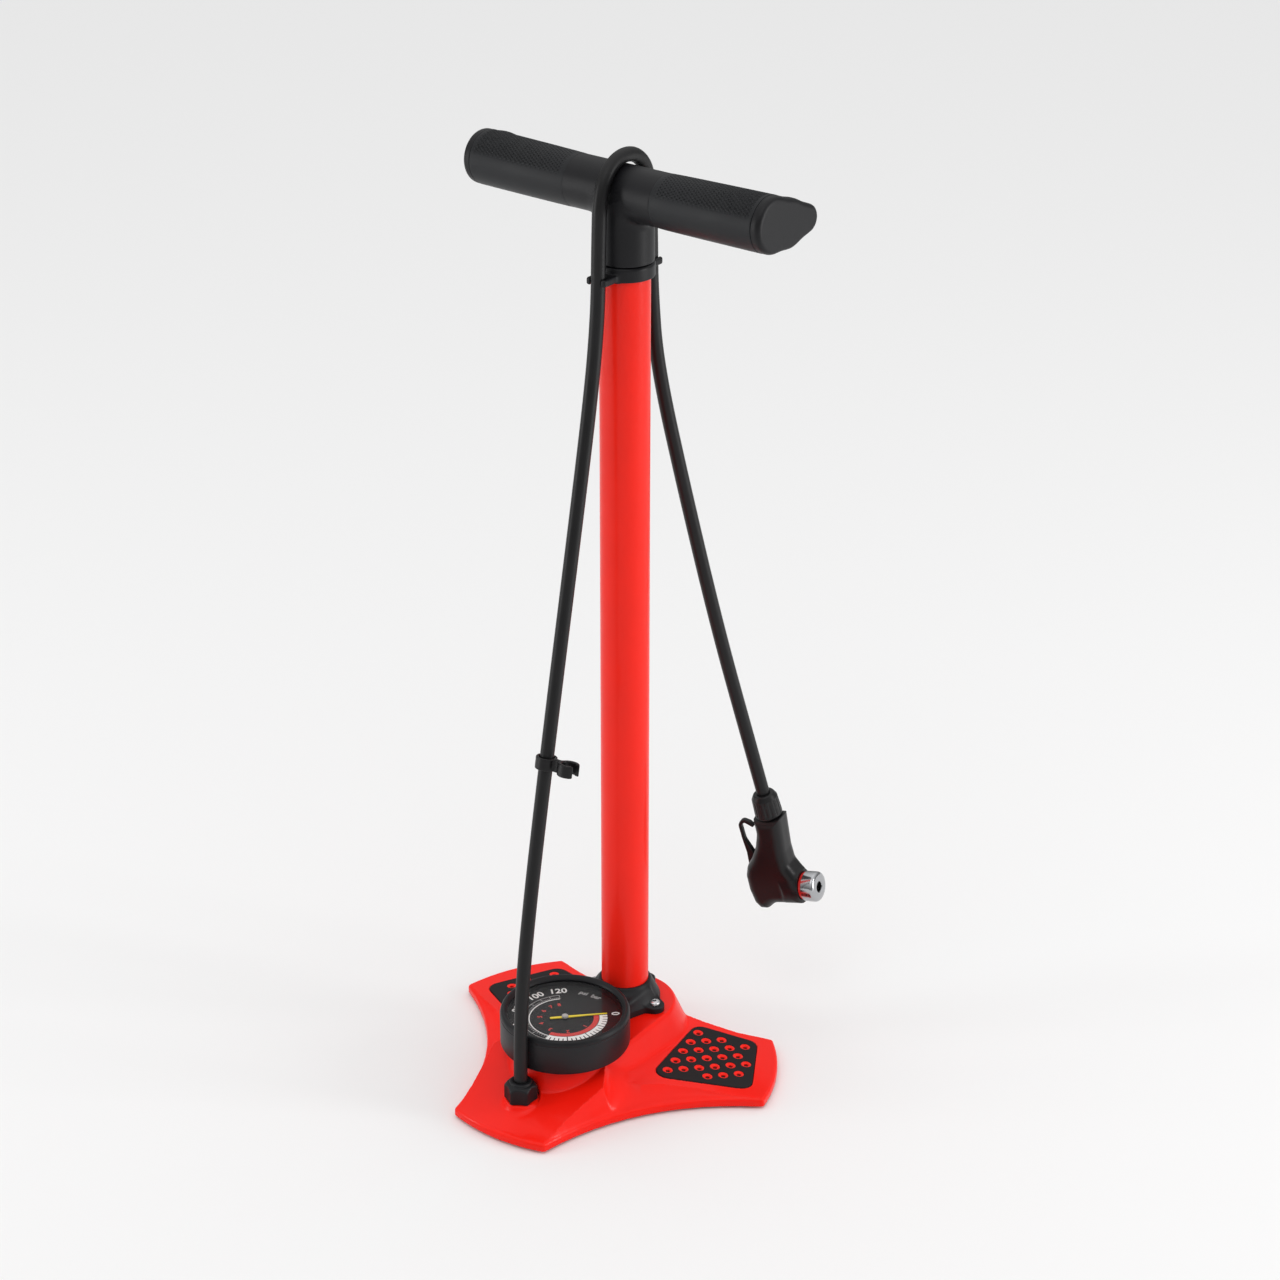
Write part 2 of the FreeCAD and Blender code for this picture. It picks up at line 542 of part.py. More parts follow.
# ---------------------------------------------------------------- collar, rod guide and wiper
collar_ring = turned("collar_turned", [
    ("barrel_out", "collar_low"), ("collar_out - 1", "collar_low"), ("collar_out", "collar_low + 1"),
    ("collar_out", "collar_top - 1.5"), ("collar_out - 1.5", "collar_top"), ("wiper_out", "collar_top"),
    ("wiper_out", "barrel_top"), ("barrel_out", "barrel_top")], {3: "1.51"})
collar_pieces = [collar_ring]
collar_tools = [cylinder("collar_bore", "barrel_out", "20", z="barrel_top - 20"),
                cylinder("collar_hole", "wiper_out", "20", z="barrel_top - 1")]
for side in (-1, 1):
    ends = sorted((side * 19, side * size("hook_end")))
    collar_pieces.append(block(f"hook{side + 1}", ("-hook_half", f"{ends[0]}", "collar_low + 0.5"),
                               ("hook_half", f"{ends[1]}", "collar_top - 4.5")))
    collar_tools.append(cylinder(f"hook_bore{side + 1}", "hose + 0.4", "30", y=f"{side} * hook_centre",
                                 z="collar_low - 8"))
    mouth = sorted((side * size("hook_centre"), side * (size("hook_end") + 8)))
    collar_tools.append(block(f"hook_mouth{side + 1}", ("-hook_mouth", f"{mouth[0]}", "collar_low - 8"),
                              ("hook_mouth", f"{mouth[1]}", "collar_top + 8")))
keep(without("collar", joined("collar_solid", collar_pieces), collar_tools))
keep(ring("rod_guide", "rod_out + 0.05", "barrel_in", "guide_low", "barrel_top"))
keep(ring("rod_wiper", "rod_out + 0.05", "wiper_out", "barrel_top", "barrel_top + 3.5"))

# ---------------------------------------------------------------- piston and rod

def cross_pin(name, radius, length):
    """Cylinder along Y through the stem and the rod."""
    pin = doc.addObject("Part::Cylinder", name)
    bind(pin, Radius=radius, Height=length)
    pin.Placement = Placement(Vector(0, size(length) / 2, size("pin_height")), Rotation(ACROSS, 90))
    return pin


HANDLE_TURN = Rotation(Vector(0, 0, 1), size("handle_turn"))
rod_tube = ring("rod_tube", "rod_in", "rod_out", "rod_low", "rod_top")
keep(without("piston_rod", rod_tube, [cross_pin("rod_pin_hole", "pin_round", "60")]), turn=HANDLE_TURN)
PISTON = "barrel_in - slide_gap"
keep(turned("piston_body", [("4", "rod_low - 4"), (PISTON, "rod_low - 4"), (PISTON, "rod_low + 10"),
                            ("rod_out", "rod_low + 10"), ("rod_out", "rod_low"), ("4", "rod_low")]))
keep(turned("piston_cup", [("4", "rod_low - 8"), (f"{PISTON} - 2.5", "rod_low - 8"),
                           (f"{PISTON} - 1.2", "rod_low - 12"), (PISTON, "rod_low - 12"),
                           (PISTON, "rod_low - 4"), ("4", "rod_low - 4")]))
keep(ring("piston_washer", "4", "11", "rod_low - 9.2", "rod_low - 8"))
keep(turned("piston_bolt", [("0", "rod_low - 13.5"), ("6.5", "rod_low - 13.5"), ("6.5", "rod_low - 9.2"),
                            ("4", "rod_low - 9.2"), ("4", "rod_low + 20"), ("0", "rod_low + 20")]))
keep(ring("top_bumper", "rod_out", "barrel_in - 3.5", "rod_low + 10", "rod_low + 18"))

# ---------------------------------------------------------------- handle
def bar_section(body, name, offset, radius, tail, tip, rise):
    """Round bar with a tail drawn out to the back: two arcs joined by their tangents.
    The section's own x runs to the back and y runs up."""
    sketch = new_sketch(body, "YZ_Plane", name, offset)
    height = f"(bar_height + {rise})"
    reach, fall = f"({tail}) + bar_front", "tail_drop"
    length = f"sqrt(({reach}) ^ 2 + ({fall}) ^ 2)"
    swing = f"acos((({radius}) - ({tip})) / ({length}))"
    lean = f"atan(({fall}) / ({reach}))"
    spots = []
    circles = (("-bar_front", height, radius), (tail, height + " - tail_drop", tip))
    for centre_y, centre_z, size_text in circles:
        for angle in (f"({swing})", f"-({swing})"):
            spots.append((f"({centre_y}) + ({size_text}) * cos({angle} - {lean})",
                          f"({centre_z}) + ({size_text}) * sin({angle} - {lean})"))
    big_top, big_low, tip_top, tip_low = spots
    add_outline(sketch, [big_low, tip_low, tip_top, big_top], {1: tip, 3: radius}, wide=(3,))
    return sketch


def bar_piece(label, near, far, shape_near, shape_far, side):
    """Loft of two bar sections between two distances from the middle."""
    body = new_body(label)
    first = bar_section(body, label + "_near", f"{side} * ({near})", *shape_near)
    last = bar_section(body, label + "_far", f"{side} * ({far})", *shape_far)
    loft(body, "Additive", [first, last], label + "_loft")
    return body


def spindle(name, side, start, end):
    """Core of the bar along X, from start to end on one side."""
    core = doc.addObject("Part::Cylinder", name)
    bind(core, Radius="spindle_out", Height=f"({end}) - ({start})")
    core.Placement = Placement(Vector(side * size(start), 0, size("bar_height")),
                               Rotation(SIDEWAYS, 90 * side))
    return core


WAIST = ("waist_round", "waist_tail", "waist_tip", "0")
GRIP_NEAR = ("waist_round + 0.3", "waist_tail", "waist_tip", "0")
GRIP_FAR = ("grip_round", "grip_tail", "grip_tip", "grip_rise")
CAP_FAR = ("grip_round - 0.6", "grip_tail + 2", "grip_tip - 0.4", "grip_rise")
core_pieces = [ring("stem", "rod_out", "stem_out", "stem_low", "bar_height - 9.5")]
for label, side in (("left", -1), ("right", 1)):
    core_pieces.append(bar_piece(f"waist_{label}", "0", "waist_half", WAIST, WAIST, side))
    core_pieces.append(spindle(f"core_{label}", side, "waist_half - 1", "grip_end"))
stem_tools = [cylinder("rod_space", "rod_out", "rod_top - stem_low + 10", z="stem_low - 10"),
              cross_pin("stem_pin_hole", "pin_round", "60")]
keep(without("handle_core", joined("core_solid", core_pieces), stem_tools), turn=HANDLE_TURN)
for label, side in (("left", -1), ("right", 1)):
    sleeve = bar_piece(f"sleeve_{label}", "waist_half", "grip_end", GRIP_NEAR, GRIP_FAR, side)
    bore = spindle(f"bore_{label}", side, "waist_half - 1", "grip_end + 1")
    keep(without(f"grip_{label}", sleeve, [bore]), turn=HANDLE_TURN)
    keep(bar_piece(f"end_cap_{label}", "grip_end", "bar_end", GRIP_FAR, CAP_FAR, side), turn=HANDLE_TURN)
pin = cross_pin("handle_pin", "pin_round", "2 * stem_out - 1")
nodes.append(pin)
pin.Placement = Placement(Vector(0, size("axis_back"), 0), HANDLE_TURN).multiply(pin.Placement)

# ---------------------------------------------------------------- hose fitting, air pipe and hand nut
AT_FOOT = {"y": "axis_back - hose_foot"}
keep(joined("hose_fitting", [
    block("fitting_block", ("-6", "-6", "base_low + 0.5"), ("6", "6", "nut_low - shell")),
    cylinder("fitting_spigot", "fitting_round", "hose_low - nut_low + shell + 2", z="nut_low - shell - 2")]),
    **AT_FOOT)
nut_body = turned("hose_nut", [("fitting_round", "nut_low"), ("nut_out", "nut_low"),
                               ("nut_out", "nut_low + 9"), ("hose + 3", "nut_top"),
                               ("hose + 0.3", "nut_top"), ("hose + 0.3", "hose_low"),
                               ("fitting_round", "hose_low")])
flute = new_sketch(nut_body, "XY_Plane", "flute", "nut_top + 1")
add_circle(flute, "nut_out + 1.5", "0", "5")
flute_cut = pocket(nut_body, flute)
around = nut_body.newObject("PartDesign::PolarPattern", "flutes")
around.Originals = [flute_cut]
around.Axis = (flute, ["N_Axis"])
around.Angle = 360
bind(around, Occurrences="lobes")
nut_body.Tip = around
keep(nut_body, **AT_FOOT)


def tube(path, radius, inside=0):
    """Round tube, or a pipe with a bore, swept along a wire."""
    start = path.OrderedEdges[0]
    heading = start.tangentAt(start.FirstParameter)
    solids = []
    for size_now in (radius, inside):
        if size_now:
            circle = Part.Wire(Part.makeCircle(size_now, path.OrderedVertexes[0].Point, heading))
            solids.append(path.makePipeShell([circle], True, False))
    return solids[0].cut(solids[1]) if inside else solids[0]


def rounded_path(points, fractions):
    """Straight runs joined by tangent arcs; each arc takes a fraction of its shorter run."""
    edges = []
    radii = []
    start = points[0]
    for before, corner, after, fraction in zip(points, points[1:], points[2:], fractions):
        back = (before - corner).normalize()
        ahead = (after - corner).normalize()
        reach = fraction * min(before.distanceToPoint(corner), after.distanceToPoint(corner))
        half_turn = (math.pi - back.getAngle(ahead)) / 2
        first, last = corner + back * reach, corner + ahead * reach
        radius = reach / math.tan(half_turn)
        inward = (back + ahead).normalize()
        middle = corner + inward * (math.hypot(radius, reach) - radius)
        edges.append(Part.LineSegment(start, first).toShape())
        edges.append(Part.Arc(first, middle, last).toShape())
        radii.append(radius)
        start = last
    edges.append(Part.LineSegment(start, points[-1]).toShape())
    return Part.Wire(edges), radii


pipe_points = [Vector(0, 0, size("hub_top")), Vector(0, 0, size("pipe_height")),
               Vector(0, 6 - size("hose_foot"), size("pipe_height"))]
pipe_path, _ = rounded_path(pipe_points, [0.6])
air_pipe = doc.addObject("Part::Feature", "air_pipe")
air_pipe.Shape = tube(pipe_path, size("air_pipe"), size("port"))
keep(air_pipe)

# ---------------------------------------------------------------- hose
# Route, front to back, in the barrel's frame: up from the front leg, through the front hook,
# over the handle, through the rear hook and down to the pump head, which hangs from it.
FRONT = [(-129.5, 21), (-129.5, 80), (-118, 160), (-90.5, 293), (-58, 440), (-38, 534), (-31, 585),
         (-30, 625)]
OVER = [(-28.2, 667.4), (-11.6, 683.7), (11.2, 683.7), (27.6, 667.4)]
REAR = [(0, 625), (0.5, 585), (4.6, 530), (25, 435), (50.5, 325), (74.5, 235), (88, 184.5)]
HANG = Vector(math.cos(math.pi / 4), math.sin(math.pi / 4), 0)
REAR_START = Vector(0, 30, 0)
route = [Vector(0, y, z) for y, z in FRONT + OVER]
route += [REAR_START + HANG * out + Vector(0, 0, z) for out, z in REAR]
hose_path, radii = rounded_path(route, [0.45] * (len(route) - 2))
print("cord radii mm", [round(radius, 1) for radius in radii], "hose length mm", round(hose_path.Length, 1))
hose_shape = tube(hose_path, size("hose"))
hose_section = math.pi * size("hose") ** 2
assert abs(hose_shape.Volume / (hose_section * hose_path.Length) - 1) < 0.01

SPLIT = 618.0          # height at which the moving stretch over the handle begins
SPLIT_GAP = 0.3
ROOM = 400.0           # half width of the boxes that part the hose
above = Part.makeBox(2 * ROOM, 2 * ROOM, ROOM, Vector(-ROOM, -ROOM, SPLIT + SPLIT_GAP))
below = Part.makeBox(2 * ROOM, 2 * ROOM, SPLIT, Vector(-ROOM, -ROOM, 0))
lower_spans = hose_shape.common(below).Solids
for label, shape in (("hose_over_handle", hose_shape.common(above).Solids[0]),
                     ("hose_front_span", min(lower_spans, key=lambda solid: solid.CenterOfMass.y)),
                     ("hose_rear_span", max(lower_spans, key=lambda solid: solid.CenterOfMass.y))):
    span = doc.addObject("Part::Feature", label)
    span.Shape = shape
    keep(span)

# ---------------------------------------------------------------- hose clip
CLIP_HEIGHT = 275
clip_run = (route[3] - route[2]).normalize()
clip_spot = route[2] + clip_run * ((CLIP_HEIGHT - route[2].z) / clip_run.z)
CLIP_LOW = "-clip_height / 2"
clip_tools = [cylinder("clip_bore", "clip_in", "2 * clip_height", z="-clip_height"),
              cylinder("catch_bore", "hose", "2 * clip_height", x="clip_reach", z="-clip_height"),
              block("catch_mouth", ("clip_reach", "-clip_mouth", "-clip_height"),
                    ("2 * clip_reach", "clip_mouth", "clip_height"))]
clip_pieces = [cylinder("clip_ring", "clip_out", "clip_height", z=CLIP_LOW),
               cylinder("catch_ring", "clip_out", "clip_height", x="clip_reach", z=CLIP_LOW),
               block("clip_bridge", ("5", "-2", CLIP_LOW), ("clip_reach - 4", "2", "clip_height / 2"))]
clip = without("hose_clip", joined("clip_solid", clip_pieces), clip_tools)
nodes.append(clip)
clip.Placement = Placement(clip_spot + Vector(0, size("axis_back"), 0), Rotation(Vector(0, 0, 1), clip_run))

# ---------------------------------------------------------------- pump head
down = (route[-1] - route[-2]).normalize()
NOZZLE_HEADING = Vector(math.cos(math.radians(6.4)), math.sin(math.radians(6.4)), 0)
nozzle_axis = (NOZZLE_HEADING - down * NOZZLE_HEADING.dot(down)).normalize()
head_turn = Rotation(nozzle_axis, Vector(), -down, "XZY")
head_spot = route[-1] - down * size("hose_grip") + Vector(0, size("axis_back"), 0)
HEAD = Placement(head_spot, head_turn)


def keep_on_head(thing):
    """Carry a piece from the pump head's own frame to where the head hangs."""
    thing.Placement = HEAD.multiply(thing.Placement)
    nodes.append(thing)
    return thing


def on_nozzle(thing):
    """Turn a piece's own Z axis along the nozzle."""
    thing.Placement = Placement(Vector(0, 0, -size("nozzle_drop")), Rotation(SIDEWAYS, 90))
    return thing


keep_on_head(turned("head_nut", [
    ("3.5", "-head_nut"), ("9.8", "-head_nut"), ("10.3", "-head_nut + 1.5"), ("10.3", "-4"), ("7.4", "0"),
    ("hose", "0"), ("hose", "-hose_grip"), ("3.5", "-hose_grip")]))
keep_on_head(turned("head_barb", [("port", "-head_nut - 6"), ("3.5", "-head_nut - 6"), ("3.5", "-hose_grip"),
                                  ("port", "-hose_grip")]))
head = new_body("head_blank")
side_view = new_sketch(head, "XZ_Plane", "head_outline")
add_outline(side_view, [
    ("-11", "-head_nut"), ("-11.5", "-33"), ("-15.7", "-45"), ("-22", "-56"), ("-28", "-64"), ("-31", "-72"),
    ("-31.5", "-85"), ("-29.5", "-97"), ("-25", "-102.5"), ("-18.5", "-102.5"), ("-11", "-96.5"),
    ("nozzle_face", "-nozzle_drop - 11.5"), ("nozzle_face", "-nozzle_drop + 11.5"), ("7.5", "-62"),
    ("7", "-50"), ("10.5", "-head_nut")])
pad(head, side_view, "2 * head_half", middle=True)
doc.recompute()
head_bore = cylinder("plunger_space", "plunger_bore", "nozzle_face + 4", x="-4", y="0", z="-nozzle_drop",
                     along=ACROSS)
pin_hole = doc.addObject("Part::Cylinder", "lever_pin_hole")
bind(pin_hole, Radius="pin_thick", Height="40")
pin_hole.Placement = Placement(Vector(-size("pin_back"), 20, -size("pin_drop")), Rotation(ACROSS, 90))
SLOT_HALF = "lever_half + 0.4"
head_tools = [
    head_bore, pin_hole,
    cylinder("barb_space", "3.5", "6", z="-head_nut - 6"),
    cylinder("air_way", "port", "50", z="-nozzle_drop"),
    block("lever_slot", ("-pin_back - 13", f"-({SLOT_HALF})", "-pin_drop - 7"),
          ("-pin_back + 6", SLOT_HALF, "-pin_drop + 30"))]
keep_on_head(without("head_body", head, head_tools))

lever = new_body("lever_blank")
lever_view = new_sketch(lever, "XZ_Plane", "lever_outline")
add_outline(lever_view, [
    ("-pin_back - 5", "-pin_drop"), ("-pin_back", "-pin_drop - 5"), ("-pin_back + 5", "-pin_drop"),
    ("-18.5", "-64"), ("-22.5", "-54"), ("-26.8", "-43"), ("-26.8", "-31.5"), ("-24.1", "-27.3"),
    ("-19.5", "-29.8"), ("-17", "-31.5"), ("-15.5", "-30"), ("-18.5", "-27"), ("-24.5", "-24.8"),
    ("-28.8", "-30"), ("-28.8", "-43"), ("-28", "-55"), ("-29", "-66")], {0: "5", 1: "5"})
pad(lever, lever_view, "2 * lever_half", middle=True)
keep_on_head(without("head_lever", lever, [pin_hole]))
lever_pin = doc.addObject("Part::Cylinder", "lever_pin")
bind(lever_pin, Radius="pin_thick - 0.05", Height="2 * head_half - 0.6")
lever_pin.Placement = Placement(Vector(-size("pin_back"), size("head_half") - 0.3, -size("pin_drop")),
                                Rotation(ACROSS, 90))
keep_on_head(lever_pin)
keep_on_head(on_nozzle(ring("nozzle_ring", "plunger_bore", "ring_out", "nozzle_face", "nozzle_face + 2.5")))
keep_on_head(on_nozzle(turned("nozzle_cap", [
    ("plunger_bore + 1", "nozzle_face + 2.5"), ("cap_out", "nozzle_face + 2.5"),
    ("cap_out", "cap_end - 2.5"), ("cap_out - 2.5", "cap_end"),
    ("valve_bore", "cap_end"), ("valve_bore", "cap_end - 3"),
    ("plunger_bore + 1", "cap_end - 3")], {2: "2.51"})))
keep_on_head(on_nozzle(ring("valve_gasket", "valve_bore", "plunger_bore - 0.2", "nozzle_face + 0.6",
                            "cap_end - 3")))
keep_on_head(on_nozzle(ring("head_plunger", "port", "plunger_bore - 0.3", "2", "nozzle_face - 2")))

# ---------------------------------------------------------------- checks and files
doc.recompute()
for thing in doc.Objects:
    assert "Invalid" not in thing.State and "Error" not in thing.State, (thing.Name, thing.State)
for node in nodes:
    assert not node.Shape.isNull() and node.Shape.isValid() and node.Shape.Volume > 0, node.Label
os.makedirs("parts", exist_ok=True)
for node in nodes:
    node.Shape.exportStep(f"parts/{node.Label}.step")
print(len(nodes), "nodes")
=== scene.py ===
import json
import math
import bmesh
import bpy
import numpy as np
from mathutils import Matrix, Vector


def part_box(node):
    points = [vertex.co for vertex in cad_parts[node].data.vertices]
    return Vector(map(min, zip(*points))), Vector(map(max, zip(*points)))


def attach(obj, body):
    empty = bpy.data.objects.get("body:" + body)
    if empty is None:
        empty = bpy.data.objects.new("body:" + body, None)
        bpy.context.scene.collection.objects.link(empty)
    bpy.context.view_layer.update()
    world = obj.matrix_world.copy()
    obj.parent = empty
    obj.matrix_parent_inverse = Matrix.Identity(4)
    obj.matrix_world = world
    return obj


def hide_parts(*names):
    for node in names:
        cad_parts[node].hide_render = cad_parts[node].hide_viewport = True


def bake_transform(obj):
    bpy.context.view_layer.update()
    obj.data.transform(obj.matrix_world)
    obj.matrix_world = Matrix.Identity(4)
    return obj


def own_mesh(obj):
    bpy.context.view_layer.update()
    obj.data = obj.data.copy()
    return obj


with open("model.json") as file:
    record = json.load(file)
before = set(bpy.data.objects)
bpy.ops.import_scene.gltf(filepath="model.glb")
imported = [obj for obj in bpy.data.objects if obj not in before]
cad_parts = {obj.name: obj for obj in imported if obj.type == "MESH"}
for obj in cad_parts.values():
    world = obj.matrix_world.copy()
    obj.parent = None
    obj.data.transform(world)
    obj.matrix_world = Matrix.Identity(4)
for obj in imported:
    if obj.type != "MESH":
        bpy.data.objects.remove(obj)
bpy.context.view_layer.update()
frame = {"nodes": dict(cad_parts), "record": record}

# Shapes are worked out in millimetres in the row frame and go into Blender in metres.
MM = 0.001


def box_mm(node):
    low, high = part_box(node)
    return np.array(low) / MM, np.array(high) / MM


BARREL_LOW, BARREL_HIGH = box_mm("barrel")
AXIS_Y = (BARREL_LOW[1] + BARREL_HIGH[1]) / 2
BARREL_R = (BARREL_HIGH[0] - BARREL_LOW[0]) / 2
DRUM_LOW, DRUM_HIGH = box_mm("gauge_case")
GAUGE_Y = (DRUM_LOW[1] + DRUM_HIGH[1]) / 2
DRUM_R = (DRUM_HIGH[0] - DRUM_LOW[0]) / 2
NUT_LOW, NUT_HIGH = box_mm("hose_nut")
NUT_Y = (NUT_LOW[1] + NUT_HIGH[1]) / 2
RED, BLACK = "red_paint", "black_plastic"


def added(name, data):
    thing = bpy.data.objects.new(name, data)
    bpy.context.scene.collection.objects.link(thing)
    return thing


def remap(tree, value, low, high, start=0.3, end=0.7):
    node = tree.nodes.new("ShaderNodeMapRange")
    for socket, number in (("From Min", start), ("From Max", end), ("To Min", low), ("To Max", high)):
        node.inputs[socket].default_value = number
    tree.links.new(value, node.inputs["Value"])
    return node.outputs["Result"]


# ---- camera, floor and light
TARGET = Vector((0, AXIS_Y * MM, 0.33287))          # the point the camera and the lights face
LENS_MM, SENSOR_MM, SHIFT_X = 79.02, 36, 0.01176
AZIMUTH, ELEVATION, DISTANCE = 35.4, 24.79, 1.99143


def aimed(name, data, azimuth, elevation, distance):
    """Camera or light at these angles and this distance from the target, turned to face it."""
    thing = added(name, data)
    a, e = math.radians(azimuth), math.radians(elevation)
    away = Vector((math.sin(a) * math.cos(e), -math.cos(a) * math.cos(e), math.sin(e)))
    thing.location = TARGET + away * distance
    thing.rotation_mode = "QUATERNION"
    thing.rotation_quaternion = (-away).to_track_quat("-Z", "Y")
    return thing


camera = aimed("camera", bpy.data.cameras.new("camera"), AZIMUTH, ELEVATION, DISTANCE)
camera.data.lens, camera.data.sensor_width = LENS_MM, SENSOR_MM
camera.data.shift_x = SHIFT_X
bpy.context.scene.camera = camera
bpy.context.scene.view_settings.view_transform = "Standard"

FLOOR_R, FLOOR_SIDES, FLOOR_GREY = 12.0, 96, 0.88
floor_mesh = bpy.data.meshes.new("floor")
floor_turns = [2 * math.pi * k / FLOOR_SIDES for k in range(FLOOR_SIDES)]
floor_rim = [(FLOOR_R * math.cos(turn), FLOOR_R * math.sin(turn), 0) for turn in floor_turns]
floor_mesh.from_pydata(floor_rim, [], [list(range(FLOOR_SIDES))])
floor = added("floor", floor_mesh)
floor_material = bpy.data.materials.new("floor_pale")
floor_material.use_nodes = True
floor_shader = floor_material.node_tree.nodes["Principled BSDF"]
floor_shader.inputs["Base Color"].default_value = (FLOOR_GREY, FLOOR_GREY, FLOOR_GREY, 1)
floor_shader.inputs["Roughness"].default_value = 0.9
floor_shader.inputs["Specular IOR Level"].default_value = 0.0
floor_mesh.materials.append(floor_material)

# The sky is bright overhead and dim at the sides, so the black pieces stay black.
SKY_SIDE, SKY_TOP = 0.12, 1.27
world = bpy.data.worlds.new("studio")
bpy.context.scene.world = world
world.use_nodes = True
sky = world.node_tree
heading = sky.nodes.new("ShaderNodeSeparateXYZ")
sky.links.new(sky.nodes.new("ShaderNodeTexCoord").outputs["Generated"], heading.inputs[0])
glow = remap(sky, heading.outputs["Z"], SKY_SIDE, SKY_TOP, 0.0, 1.0)
sky.nodes["Background"].inputs["Color"].default_value = (1, 1, 1, 1)
sky.links.new(glow, sky.nodes["Background"].inputs["Strength"])


def soft_light(name, azimuth, elevation, distance, width, height, watts):
    """Large area light that faces the middle of the pump."""
    light = bpy.data.lights.new(name, "AREA")
    light.shape, light.size, light.size_y, light.energy = "RECTANGLE", width, height, watts
    aimed(name, light, azimuth, elevation, distance)


# Azimuth and elevation in degrees, distance, width and height in metres, and watts.
soft_light("key_left", -47, 6, 2.6, 0.5, 1.6, 16)
soft_light("fill_right", 112, 8, 2.6, 0.6, 1.6, 26)
soft_light("overhead", 20, 60, 4.5, 2.2, 2.2, 12)


# ---- meshes
SHARP = 40                  # degrees between two faces from which their shared edge is drawn sharp


def new_object(name, points, faces, body, slot=None, replaced=(), normals=None, sharp=None):
    """Mesh object from points in millimetres; it rides on a body and may replace CAD nodes."""
    mesh = bpy.data.meshes.new(name)
    mesh.from_pydata((np.asarray(points) * MM).tolist(), [], [list(face) for face in faces])
    mesh.validate()
    mesh.shade_smooth()
    if sharp is not None:
        mesh.set_sharp_from_angle(angle=math.radians(sharp))
    if normals is not None:
        mesh.normals_split_custom_set_from_vertices(normals.tolist())
    thing = added(name, mesh)
    if body:
        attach(thing, body)
    if slot:
        mesh.materials.append(MATERIALS[slot])
    if replaced:
        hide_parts(*replaced)
    return thing


def gradient(field, points, step=0.02):
    slopes = []
    for axis in range(3):
        shift = np.zeros(3)
        shift[axis] = step
        slopes.append((field(*(points + shift).T) - field(*(points - shift).T)) / (2 * step))
    return np.stack(slopes, 1)


GRID_SHIFT = 0.137          # share of a cell that keeps flat faces off the grid's planes
PULLS, LEAST_SLOPE = 3, 0.05        # moves of a point onto the surface; least squared slope they use


def skin_of(field, low, high, cell):
    """The surface where field(x, y, z) is zero and outside which it is positive: points, quads
    and normals. One point goes in each grid cell that the surface passes through."""
    low = np.subtract(low, GRID_SHIFT * cell)
    counts = np.ceil(np.subtract(high, low) / cell).astype(int) + 1
    x, y, z = (low[k] + cell * np.arange(counts[k]) for k in range(3))
    value = np.broadcast_to(field(x[:, None, None], y[None, :, None], z[None, None, :]), counts)
    rings, places = [], []
    for axis in range(3):
        near = np.take(value, range(counts[axis] - 1), axis)
        far = np.take(value, range(1, counts[axis]), axis)
        spots = np.argwhere((near < 0) != (far < 0))
        first, second = near[tuple(spots.T)], far[tuple(spots.T)]
        place = spots.astype(float)
        place[:, axis] += first / (first - second)
        corners = []
        for one, two in ((0, 0), (1, 0), (1, 1), (0, 1)):
            corner = spots.copy()
            corner[:, (axis + 1) % 3] -= one
            corner[:, (axis + 2) % 3] -= two
            corners.append(np.ravel_multi_index(corner.T, counts))
        ring = np.stack(corners, 1)
        ring[first > 0] = ring[first > 0][:, ::-1]
        rings.append(ring)
        places.append(place)
    rings, places = np.concatenate(rings), np.concatenate(places)
    used, quads = np.unique(rings, return_inverse=True)
    quads = quads.reshape(rings.shape)
    weight = np.bincount(quads.ravel(), minlength=len(used))
    points = np.stack([np.bincount(quads.ravel(), np.repeat(places[:, k], 4)) / weight for k in range(3)], 1)
    points = points * cell + np.array(low)
    for _ in range(PULLS):
        slope = gradient(field, points)
        move = (field(*points.T) / np.maximum((slope ** 2).sum(1), LEAST_SLOPE))[:, None] * slope
        points = points - np.clip(move, -cell / 2, cell / 2)
    slope = gradient(field, points)
    return points, quads, slope / np.linalg.norm(slope, axis=1, keepdims=True)


def moulded(name, field, low, high, cell, body, slot, at=None, replaced=None):
    """Piece whose shape is a field in its own frame; at is the 4x4 matrix (mm) that places it. It
    replaces the CAD node of the same name, or the one named in replaced."""
    points, quads, normals = skin_of(field, low, high, cell)
    if at is not None:
        points = points @ at[:3, :3].T + at[:3, 3]
        normals = normals @ at[:3, :3].T
    new_object(name, points, quads, body, slot, (replaced or name,), normals)


def frame_at(x_axis, y_axis, z_axis, origin):
    matrix = np.eye(4)
    matrix[:3, 0], matrix[:3, 1], matrix[:3, 2], matrix[:3, 3] = x_axis, y_axis, z_axis, origin
    return matrix


def rounded(corners, radii, steps=6):
    """Closed outline with each corner turned into an arc of its radius; 0 leaves it sharp."""
    outline = []
    corners = [np.array(corner, float) for corner in corners]
    for number, (corner, radius) in enumerate(zip(corners, radii)):
        before, after = corners[number - 1] - corner, corners[(number + 1) % len(corners)] - corner
        before_len, after_len = np.linalg.norm(before), np.linalg.norm(after)
        if not radius:
            outline.append(corner)
            continue
        before, after = before / before_len, after / after_len
        half = math.acos(np.clip(before @ after, -1, 1)) / 2
        reach = min(radius / math.tan(half), 0.499 * before_len, 0.499 * after_len)
        bulge = reach * math.tan(half)
        centre = corner + (before + after) / np.linalg.norm(before + after) * bulge / math.sin(half)
        start, end = corner + before * reach - centre, corner + after * reach - centre
        swing = math.atan2(start[0] * end[1] - start[1] * end[0], start @ end)
        for step in range(steps + 1):
            c, s = math.cos(swing * step / steps), math.sin(swing * step / steps)
            outline.append(centre + (start[0] * c - start[1] * s, start[0] * s + start[1] * c))
    return np.array(outline)


ON_AXIS = 1e-6              # a smaller radius than this is a point on the axis


